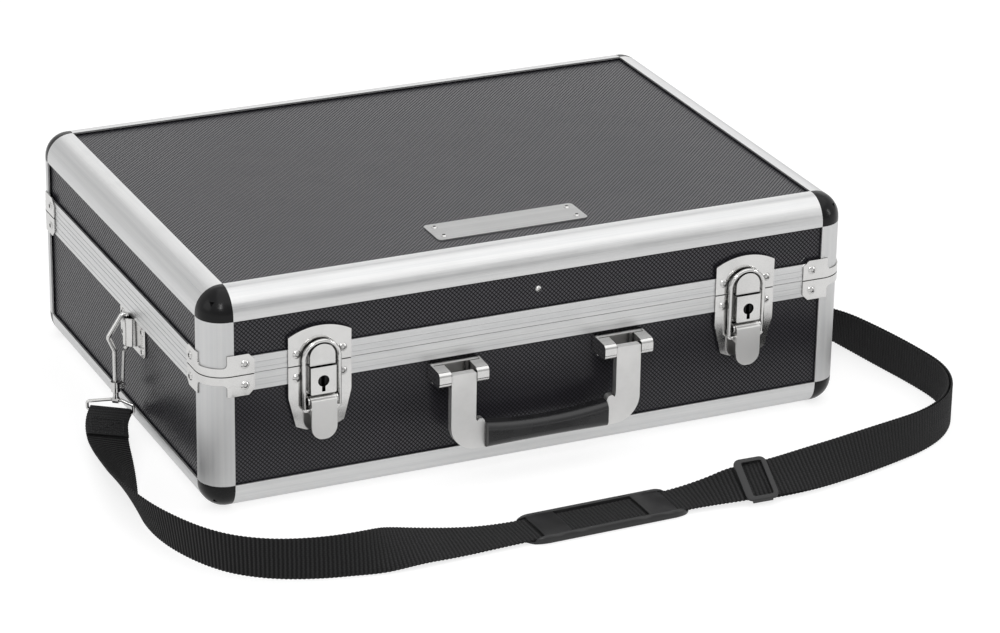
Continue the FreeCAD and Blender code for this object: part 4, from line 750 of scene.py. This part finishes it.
@dataclass
class Handle(SubAssembly):
    """The carrying handle, its brackets and its pins."""

    def finishes(self) -> dict[str, Finish]:
        """Return the finish of each handle node."""
        return {"handle_brackets": Finishes.BRIGHT, "handle_pins": Finishes.PIN, "handle_grip": Finishes.GRIP,
                **self.on_each(SIDES, {"handle_arm": Finishes.HANDLE})}


@dataclass
class StrapHardware(SubAssembly):
    """The strap brackets, snap hooks and wire loops, and the hinge pins behind."""

    def finishes(self) -> dict[str, Finish]:
        """Return the finish of each strap fitting and hinge pin."""
        parts = ("strap_bracket", "hook", "hook_gate", "strap_loop")
        return {"hinge_pins": Finishes.PIN, **self.on_each(SIDES, dict.fromkeys(parts, Finishes.BRIGHT))}


@dataclass
class Station:
    """One cross-section of a band: its middle and its three directions."""

    place: Vector
    along: Vector
    width: Vector
    face: Vector
    distance: float


class Mesher:
    """Turns rings of points into mesh objects."""

    @staticmethod
    def keep(name: str, skin: Skin, finish: Finish, smooth: float = math.radians(40)) -> bpy.types.Object:
        """Make a mesh object with a finish.

        Args:
            name: The piece's name.
            skin: Its vertices, and the vertex numbers of each face.
            finish: The finish to give it.
            smooth: Edges bent less than this angle are shaded smooth.

        Returns:
            The new object.
        """
        points, faces = skin
        mesh = bpy.data.meshes.new(name)
        mesh.from_pydata([tuple(point) for point in points], [], faces)
        mesh.validate()
        mesh.shade_smooth()
        mesh.set_sharp_from_angle(angle=smooth)
        mesh.materials.append(finish.material())
        item = placed(name, mesh)
        LOG.info("%s: %d points", name, len(points))
        return item

    @staticmethod
    def tube(rings: Rings, closed: bool = False, first: int = 0) -> Skin:
        """Join rings of points into a skin.

        Args:
            rings: Rings with the same number of points each.
            closed: True if the last ring joins the first one.
            first: The number of the first vertex.

        Returns:
            The vertices and the faces.
        """
        size = len(rings[0])
        count = len(rings)
        faces: list[tuple[int, ...]] = []
        for ring in range(count if closed else count - 1):
            here = first + ring * size
            there = first + (ring + 1) % count * size
            for spot in range(size):
                after = (spot + 1) % size
                faces.append((here + spot, here + after, there + after, there + spot))
        if not closed:
            faces.append(tuple(first + spot for spot in reversed(range(size))))
            faces.append(tuple(first + (count - 1) * size + spot for spot in range(size)))
        return [point for ring in rings for point in ring], faces

    @classmethod
    def join(cls, parts: Iterable[Rings], closed: int = 0) -> Skin:
        """Put the skins of several parts together.

        Args:
            parts: The rings of each part.
            closed: How many of the first parts are closed loops of rings.

        Returns:
            The vertices and the faces.
        """
        points: list[Vector] = []
        faces: list[tuple[int, ...]] = []
        for index, rings in enumerate(parts):
            more, sides = cls.tube(rings, index < closed, len(points))
            points.extend(more)
            faces.extend(sides)
        return points, faces

    @staticmethod
    def moved(skin: Skin, place: Matrix) -> Skin:
        """Return a skin carried to its place."""
        points, faces = skin
        return [place @ point for point in points], faces


# The strap's middle line from the left loop's bar to the right one's: places, each with the angle in degrees
# that the strap's width leans from upright there.
ROUTE: tuple[tuple[float, float, float, float], ...] = (
    (-0.24499, -0.01185, 0.01415, -90), (-0.25099, -0.0201, 0.01415, -84), (-0.2568, -0.0387, 0.0097, -80),
    (-0.2606, -0.0597, 0.0082, -70), (-0.2668, -0.0897, 0.0099, -54), (-0.2735, -0.1197, 0.0126, -38),
    (-0.2765, -0.1507, 0.0143, -19), (-0.271, -0.1897, 0.01455, -10), (-0.2535, -0.2302, 0.01455, -6),
    (-0.229, -0.2527, 0.01455, -3), (-0.198, -0.2647, 0.01455, 2), (-0.166, -0.2697, 0.01495, 12),
    (-0.137, -0.2637, 0.0109, 58), (-0.106, -0.2607, 0.006, 74), (-0.078, -0.2591, 0.0036, 86),
    (-0.046, -0.2581, 0.0029, 90), (0.048, -0.2563, 0.0029, 90), (0.076, -0.2579, 0.0054, 82),
    (0.0965, -0.2621, 0.0102, 63), (0.1215, -0.2653, 0.0116, 61), (0.154, -0.2647, 0.0134, 42),
    (0.186, -0.2607, 0.01455, 26), (0.217, -0.2545, 0.01505, 12), (0.246, -0.2465, 0.01475, 3),
    (0.271, -0.2317, 0.01455, 0), (0.289, -0.2092, 0.01455, 0), (0.2975, -0.1817, 0.01455, 0),
    (0.2945, -0.1487, 0.01455, 0), (0.288, -0.1117, 0.01455, 0), (0.28, -0.0747, 0.01505, 8),
    (0.268, -0.0467, 0.0152, 34), (0.25263, -0.02237, 0.01845, 72), (0.24499, -0.01185, 0.01845, 90))


@dataclass
class ShoulderStrap:
    """The webbing strap with its sewn tail, its return, its pad and its slider."""

    frame: dict
    length: float = 1.0
    width: float = 0.0285
    thickness: float = 0.0016
    rib: float = Finishes.WEBBING.rib
    rib_depth: float = 0.00042
    rib_notch: float = 0.00025
    steps_per_rib: int = 7
    aim_steps: int = 3
    line_steps: int = 40
    line_order: int = 3
    flat_spots: int = 8
    sharp_fold: float = math.radians(80)
    tail_length: float = 0.030
    tail_layer: float = -0.0017
    return_layer: float = -0.0025
    spread: float = 0.018
    wrap: float = 0.00215
    bar: Place = (0.24499, -0.01185, 0.0163)
    bar_turn: float = 36.0
    wrap_steps: int = 22
    pad_middle: Spot = (0.001, -0.2572)
    slider_middle: Place = (0.109, -0.2637, 0.0109)
    slider_lean: float = 62.0
    stations: list[Station] = field(default_factory=list)

    def build(self) -> None:
        self.stations = self.walk()
        strap = self.band("strap_webbing", self.stations, 0.0)
        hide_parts("strap")
        tail = self.band("strap_tail_webbing", self.tail_stations(), self.tail_length)
        back = self.band("strap_return_webbing", self.return_stations(), 0.0)
        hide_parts("strap_return")
        pieces = [tail, back, TailStitches(self).build(), ShoulderPad(self.pad_middle).build(),
                  Slider(self.slider_middle, self.slider_lean).build()]
        for piece in [strap] + pieces:
            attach(piece, "base")
        [tuple(station.place) for station in self.stations]

    def read_line(self, name: str, controls: Sequence[Sequence[float]]) -> list[Vector]:
        """Read the points along a smooth spline.

        Args:
            name: The spline's name.
            controls: Its control points.

        Returns:
            Closely spaced points on the spline.
        """
        data = bpy.data.curves.new(name, "CURVE")
        data.dimensions = "3D"
        data.resolution_u = self.line_steps
        spline = data.splines.new("NURBS")
        spline.points.add(len(controls) - 1)
        for control, place in zip(spline.points, controls):
            control.co = (*place, 1.0)
        spline.order_u = self.line_order
        spline.use_endpoint_u = True
        holder = bpy.data.objects.new(name, data)
        mesh = bpy.data.meshes.new_from_object(holder)
        line = [vertex.co.copy() for vertex in mesh.vertices]
        bpy.data.objects.remove(holder)
        bpy.data.curves.remove(data)
        bpy.data.meshes.remove(mesh)
        return line

    def walk(self) -> list[Station]:
        """Return evenly spaced stations along the strap's route."""
        places = self.read_line("strap_route", [spot[:3] for spot in ROUTE])
        leans = [point.x for point in self.read_line("strap_lean", [(spot[3], 0.0, 0.0) for spot in ROUTE])]
        marks = [0.0]
        for before, after in zip(places, places[1:]):
            marks.append(marks[-1] + (after - before).length)
        count = round(marks[-1] / self.rib * self.steps_per_rib)
        even: list[tuple[Vector, float, float]] = []
        spot = 0
        for step in range(count + 1):
            distance = marks[-1] * step / count
            while spot < len(marks) - 2 and marks[spot + 1] < distance:
                spot += 1
            gap = marks[spot + 1] - marks[spot]
            share = (distance - marks[spot]) / gap if gap else 0.0
            even.append((places[spot].lerp(places[spot + 1], share),
                         leans[spot] + (leans[spot + 1] - leans[spot]) * share, distance))
        found = []
        for index, (place, lean, distance) in enumerate(even):
            before = even[max(index - self.aim_steps, 0)][0]
            after = even[min(index + self.aim_steps, count)][0]
            along = (after - before).normalized()
            width, face = self.axes(along, lean)
            found.append(Station(place, along, width, face, distance))
        return found

    @staticmethod
    def axes(along: Vector, lean: float) -> tuple[Vector, Vector]:
        """Return the width and the outer face's direction of a band.

        Args:
            along: The way the band runs.
            lean: How far its width leans from upright, in degrees.

        Returns:
            The two directions.
        """
        side = UP.cross(along).normalized()
        upright = along.cross(side).normalized()
        angle = math.radians(lean)
        width = upright * math.cos(angle) + side * math.sin(angle)
        return width, along.cross(width).normalized()

    def shift(self, layer: float, distance: float) -> float:
        """Return how far a layer lies from the first one, opening out at a loop's bar."""
        ease = max(0.0, 1.0 - distance / self.spread)
        return layer + (math.copysign(2 * self.wrap, layer) - layer) * ease * ease

    def half_turn(self, side: int) -> list[Station]:
        """Return stations of the half turn round a loop's lower bar, from its tail layer to the first one.

        Args:
            side: -1 at the left loop, where the tail lies above, and 1 at the right one, where the return
                lies below.

        Returns:
            The stations, in the order in which the webbing runs.
        """
        turn = math.radians(self.bar_turn)
        leave = Vector((side * math.sin(turn), -math.cos(turn), 0.0))
        middle = Vector((side * self.bar[0], *self.bar[1:]))
        lift = UP * -side
        width = self.stations[0 if side < 0 else -1].width
        found = []
        for step in range(self.wrap_steps + 1):
            angle = math.pi * step / self.wrap_steps
            outward = lift * math.cos(angle) - leave * math.sin(angle)
            along = -lift * math.sin(angle) - leave * math.cos(angle)
            found.append(Station(middle + outward * self.wrap, along, width, along.cross(width), 0.0))
        return found

    def layer_of(self, stations: Sequence[Station], layer: float, from_bar: Sequence[float]) -> list[Station]:
        """Return stations moved sideways to lie on another layer."""
        return [replace(station, place=station.place + station.face * self.shift(layer, gap))
                for station, gap in zip(stations, from_bar)]

    def tail_stations(self) -> list[Station]:
        """Return stations of the sewn tail, from its cut end back to the left bar and round it."""
        near = [station for station in self.stations if station.distance <= self.tail_length]
        layer = self.layer_of(near, self.tail_layer, [station.distance for station in near])
        return self.spaced(list(reversed(layer)) + self.half_turn(-1))

    def return_stations(self) -> list[Station]:
        """Return stations of the second run, from the slider's back bar to the right bar and round it."""
        whole = self.stations[-1].distance
        start = self.start_of_return()
        run = [station for station in self.stations if station.distance >= start]
        layer = self.layer_of(run, self.return_layer, [whole - station.distance for station in run])
        return self.spaced(layer + self.half_turn(1))

    def start_of_return(self) -> float:
        """Return how far along the strap the slider's back bar is."""
        middle = Vector(self.slider_middle)
        nearest = min(self.stations, key=lambda station: (station.place - middle).length)
        return nearest.distance + Slider.back_bar

    @staticmethod
    def spaced(stations: Sequence[Station]) -> list[Station]:
        """Measure directions and distances again along a line that was moved or joined.

        Args:
            stations: The line's stations in order.

        Returns:
            The same places with their new directions and distances.
        """
        found = []
        distance = 0.0
        for index, station in enumerate(stations):
            before = stations[max(index - 1, 0)].place
            after = stations[min(index + 1, len(stations) - 1)].place
            if index:
                distance += (station.place - before).length
            along = (after - before).normalized()
            width = (station.width - along * station.width.dot(along)).normalized()
            found.append(Station(station.place, along, width, along.cross(width), distance))
        return found

    def section(self) -> list[tuple[float, float]]:
        """Return the band's outline: places across it, and shares of half its thickness."""
        flat = self.width / 2 - self.thickness / 2
        upper = [(-flat + 2 * flat * step / self.flat_spots, 1.0) for step in range(self.flat_spots + 1)]
        edge = [(flat + self.thickness / 2 * math.sin(angle), math.cos(angle))
                for angle in (math.pi / 4, math.pi / 2, 3 * math.pi / 4)]
        half = upper + edge
        return half + [(-across, -share) for across, share in half]

    def band(self, name: str, stations: Sequence[Station], phase: float) -> bpy.types.Object:
        """Sweep one layer of ribbed webbing.

        Args:
            name: The piece's name.
            stations: The cross-sections in order.
            phase: How far along the weave it starts.

        Returns:
            The webbing's object.
        """
        outline = self.section()
        rings = []
        course = []
        for station in stations:
            along = station.distance + phase
            valley = (0.5 + 0.5 * math.cos(2 * math.pi * along / self.rib)) ** 2
            half = self.thickness / 2 - self.rib_depth * valley
            narrow = 1.0 - self.rib_notch * valley / (self.width / 2)
            rings.append([station.place + station.width * (across * narrow) + station.face * (share * half)
                          for across, share in outline])
            course.extend((along, across, share) for across, share in outline)
        item = Mesher.keep(name, Mesher.tube(rings), Finishes.WEBBING, self.sharp_fold)
        layer = item.data.attributes.new("course", "FLOAT_VECTOR", "POINT")
        layer.data.foreach_set("vector", [value for spot in course for value in spot])
        return item


@dataclass
class TailStitches:
    """The thread that sews the strap's tail down: a box of stitches with a cross in it."""

    strap: ShoulderStrap
    first: float = 0.0115
    last: float = 0.0275
    inset: float = 0.0035
    pitch: float = 0.0027
    share: float = 0.74
    radius: float = 0.0003
    arch: float = 1.5
    sink: float = 0.7
    steps: int = 6
    sides: int = 6

    def build(self) -> bpy.types.Object:
        """Make every stitch as one piece."""
        stitches = []
        for start, end in self.seams():
            count = round(math.dist(start, end) / self.pitch)
            stitches += [self.stitch(start, end, step / count, (step + self.share) / count)
                         for step in range(count)]
        return Mesher.keep("tail_stitches", Mesher.join(stitches), Finishes.THREAD)

    def seams(self) -> list[tuple[Spot, Spot]]:
        """Return the two ends of each seam, as places along and across the band."""
        side = self.strap.width / 2 - self.inset
        corners = [(self.first, -side), (self.last, -side), (self.last, side), (self.first, side)]
        box = list(zip(corners, corners[1:] + corners[:1]))
        return box + [(corners[0], corners[2]), (corners[1], corners[3])]

    def stitch(self, start: Spot, end: Spot, low: float, high: float) -> list[list[Vector]]:
        """Return rings of one stitch, which dips into the webbing at both ends.

        Args:
            start: The seam's first end.
            end: The seam's last end.
            low: Share of the seam at which the stitch starts.
            high: Share at which it ends.

        Returns:
            The rings in order.
        """
        strap = self.strap
        spacing = strap.stations[1].distance
        angles = [2 * math.pi * turn / self.sides for turn in range(self.sides)]
        rings = []
        for step in range(self.steps + 1):
            share = low + (high - low) * step / self.steps
            spot = [a + (b - a) * share for a, b in zip(start, end)]
            station = strap.stations[round(spot[0] / spacing)]
            out = station.face * math.copysign(1.0, strap.tail_layer)
            level = strap.shift(strap.tail_layer, spot[0])
            bow = self.arch * math.sin(math.pi * step / self.steps) - self.sink
            rise = strap.thickness / 2 + self.radius * bow
            middle = station.place + station.width * spot[1] + station.face * level + out * rise
            run = (station.along * (end[0] - start[0]) + station.width * (end[1] - start[1])).normalized()
            across = out.cross(run)
            rings.append([middle + (across * math.cos(a) + out * math.sin(a)) * self.radius for a in angles])
        return rings


@dataclass
class ShoulderPad:
    """The moulded rubber tray that the strap runs through, with two bridges over it."""

    middle: Spot
    length: float = 0.120
    half_width: float = 0.018
    height: float = 0.0058
    floor: float = 0.0016
    tip_floor: float = 0.25
    tip_rise: float = 3.0
    channel: float = 0.01485
    thinnest: float = 0.0001
    fillet: float = 0.0006
    end_round: float = 0.015
    end_steps: int = 14
    middle_steps: int = 16
    edge: float = 0.0015
    tip_edge: float = 0.08
    bridge: float = 0.020
    bridge_start: float = 0.0276
    bridge_low: float = 0.0044
    bridge_half: float = 0.0166
    bridge_drop: float = 0.0007
    bridge_crown: float = 0.0006
    bridge_bevel: float = 0.0006
    bridge_steps: int = 12
    turn: float = 1.097

    def build(self) -> bpy.types.Object:
        """Make the pad as one piece."""
        tray = [self.section(x) for x in self.stations()]
        skin = Mesher.join([tray] + [self.bridge_rings(side) for side in (-1, 1)])
        place = Matrix.Translation((*self.middle, 0.0)) @ Matrix.Rotation(math.radians(self.turn), 4, "Z")
        item = Mesher.keep("shoulder_pad_rubber", Mesher.moved(skin, place), Finishes.RUBBER)
        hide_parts("shoulder_pad")
        return item

    def stations(self) -> list[float]:
        """Return places along the pad, closer together at its round ends."""
        half = self.length / 2
        ends = [half - self.end_round * (1 - math.cos(math.pi / 2 * step / self.end_steps))
                for step in range(self.end_steps + 1)]
        inner = half - self.end_round
        middle = [inner - 2 * inner * step / self.middle_steps for step in range(1, self.middle_steps)]
        right = ends + middle
        return sorted(set(right + [-x for x in right]))

    def section(self, x: float) -> list[Vector]:
        """Draw the tray's outline at one place, with corners rounded by shares of the edge.

        Args:
            x: The place along the pad.

        Returns:
            The outline's points.
        """
        past = max(0.0, abs(x) - (self.length / 2 - self.end_round)) / self.end_round
        fall = math.sqrt(max(0.0, 1.0 - past * past))
        outer = self.half_width - self.end_round * (1 - fall)
        floor = self.floor * (self.tip_floor + (1 - self.tip_floor) * min(1.0, self.tip_rise * fall))
        room = max(0.0, outer - self.channel) / (self.half_width - self.channel)
        top = floor + (self.height - floor) * math.sqrt(min(1.0, room))
        inner = min(self.channel, outer - self.thinnest)
        edge = self.edge * min(1.0, self.tip_edge + room)
        near = [(outer - edge, 0.0), (outer - edge * 0.3, edge * 0.3), (outer, edge),
                (outer, max(top - 1.6 * edge, edge)), (outer - edge * 0.35, top - 0.5 * edge),
                (outer - edge, top), (min(inner + 0.6 * edge, outer - edge), top), (inner, top - 0.5 * edge),
                (inner, min(floor + self.fillet / 2, top)), (inner - self.fillet, floor)]
        return [Vector((x, y, z)) for y, z in near] + [Vector((x, -y, z)) for y, z in reversed(near)]

    def bridge_rings(self, side: int) -> list[list[Vector]]:
        """Return rings across one bridge, from the front rail to the back one.

        Args:
            side: -1 for the left bridge and 1 for the right one.

        Returns:
            The rings.
        """
        half = self.bridge / 2
        middle = side * (self.bridge_start + half)
        low = self.bridge_low
        bevel = self.bridge_bevel
        soft = 0.4 * bevel
        rings = []
        for step in range(self.bridge_steps + 1):
            y = self.bridge_half * (2 * step / self.bridge_steps - 1)
            high = self.height - self.bridge_drop + self.bridge_crown * (1 - (y / self.bridge_half) ** 2)
            outline = [(-half, low), (half, low), (half, high - bevel), (half - soft, high - soft),
                       (half - 2 * bevel, high), (2 * bevel - half, high), (soft - half, high - soft),
                       (-half, high - bevel)]
            rings.append([Vector((middle + x, y, z)) for x, z in outline])
        return rings


@dataclass
class Slider:
    """The moulded ladder slider: a rounded frame over the strap and a bar behind it."""

    middle: Place
    lean: float
    route_points: tuple[int, int] = (18, 19)
    length: float = 0.0225
    span: float = 0.0335
    left_bar: float = 0.0052
    right_bar: float = 0.0036
    rail: float = 0.0019
    lip: float = 0.0012
    level: float = 0.0014
    thickness: float = 0.0015
    corner: float = 0.0045
    window_corner: float = 0.0012
    least_corner: float = 0.0002
    corner_steps: int = 6
    bevel: float = 0.0006
    overlap: float = 0.0002
    back_bar: float = 0.0013
    bar_width: float = 0.0046
    bar_inset: float = 0.0015
    bar_bevel: float = 0.0004

    def build(self) -> bpy.types.Object:
        """Make the slider as one piece."""
        skin = Mesher.join([self.frame_rings()] + self.bars(), closed=1)
        before, after = (Vector(ROUTE[index][:3]) for index in self.route_points)
        along = (after - before).normalized()
        width, face = ShoulderStrap.axes(along, self.lean)
        place = Matrix.Translation(self.middle) @ Matrix((along, width, face)).transposed().to_4x4()
        item = Mesher.keep("strap_slider_frame", Mesher.moved(skin, place), Finishes.SLIDER)
        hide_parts("strap_slider")
        return item

    def loop(self, low: Spot, high: Spot, corner: float, grow: float, z: float) -> list[Vector]:
        """Return points round a rectangle with round corners, the same number whatever its size.

        Args:
            low: Its lowest corner.
            high: Its highest corner.
            corner: The corners' radius.
            grow: How far the outline is pushed outward.
            z: The level that it lies on.

        Returns:
            The points in order.
        """
        radius = max(corner + grow, self.least_corner)
        left, front = (value - grow + radius for value in low)
        right, rear = (value + grow - radius for value in high)
        points = []
        for quarter, (x, y) in enumerate(((right, rear), (left, rear), (left, front), (right, front))):
            for step in range(self.corner_steps + 1):
                angle = math.pi / 2 * (quarter + step / self.corner_steps)
                points.append(Vector((x + radius * math.cos(angle), y + radius * math.sin(angle), z)))
        return points

    def frame_rings(self) -> list[list[Vector]]:
        """Return rings of the front frame: outer foot, outer edge, inner edge and inner foot."""
        half = self.length / 2
        side = self.span / 2
        rail = side - self.rail - self.lip
        bevel = self.bevel
        soft = 0.3 * bevel
        low = self.level
        high = self.level + self.thickness
        outer = ((-half, -side), (half, side), self.corner)
        inner = ((self.left_bar - half, -rail), (half - self.right_bar, rail), self.window_corner)
        levels = [self.loop(*shape, grow, z) for shape, grow, z in (
            (outer, 0.0, low), (outer, 0.0, high - bevel), (outer, -soft, high - soft), (outer, -bevel, high),
            (inner, bevel, high), (inner, soft, high - soft), (inner, 0.0, high - bevel), (inner, 0.0, low))]
        return [list(ring) for ring in zip(*levels)]

    def bars(self) -> list[list[list[Vector]]]:
        """Return rings of the two side rails and of the bar behind the strap."""
        half = self.length / 2 - self.corner
        side = self.span / 2
        inside = side - self.rail
        foot = -self.level
        top = self.level + self.overlap
        bevel = self.bar_bevel
        found = []
        for way in (-1, 1):
            outline = [(way * inside, foot), (way * (side - bevel), foot), (way * side, foot + bevel),
                       (way * side, top), (way * inside, top)]
            found.append([[Vector((x, y, z)) for y, z in outline] for x in (-half, half)])
        low = foot - self.thickness
        end = -self.bar_width
        reach = side - self.bar_inset
        outline = [(end + bevel, low), (-bevel, low), (0.0, low + bevel), (0.0, foot - bevel), (-bevel, foot),
                   (end + bevel, foot), (end, foot - bevel), (end, low + bevel)]
        found.append([[Vector((x + self.back_bar, y, z)) for x, z in outline] for y in (-reach, reach)])
        return found


def main() -> None:
    """Load the frame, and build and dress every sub-assembly."""
    logging.basicConfig(level=logging.INFO, format="%(name)s %(message)s")
    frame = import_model()
    Studio().build()
    ShoulderStrap(frame).build()
    for part in (ShellFrame, Panels, Latches, Handle, StrapHardware):
        part(frame).dress()


if __name__ == "__main__":
    main()
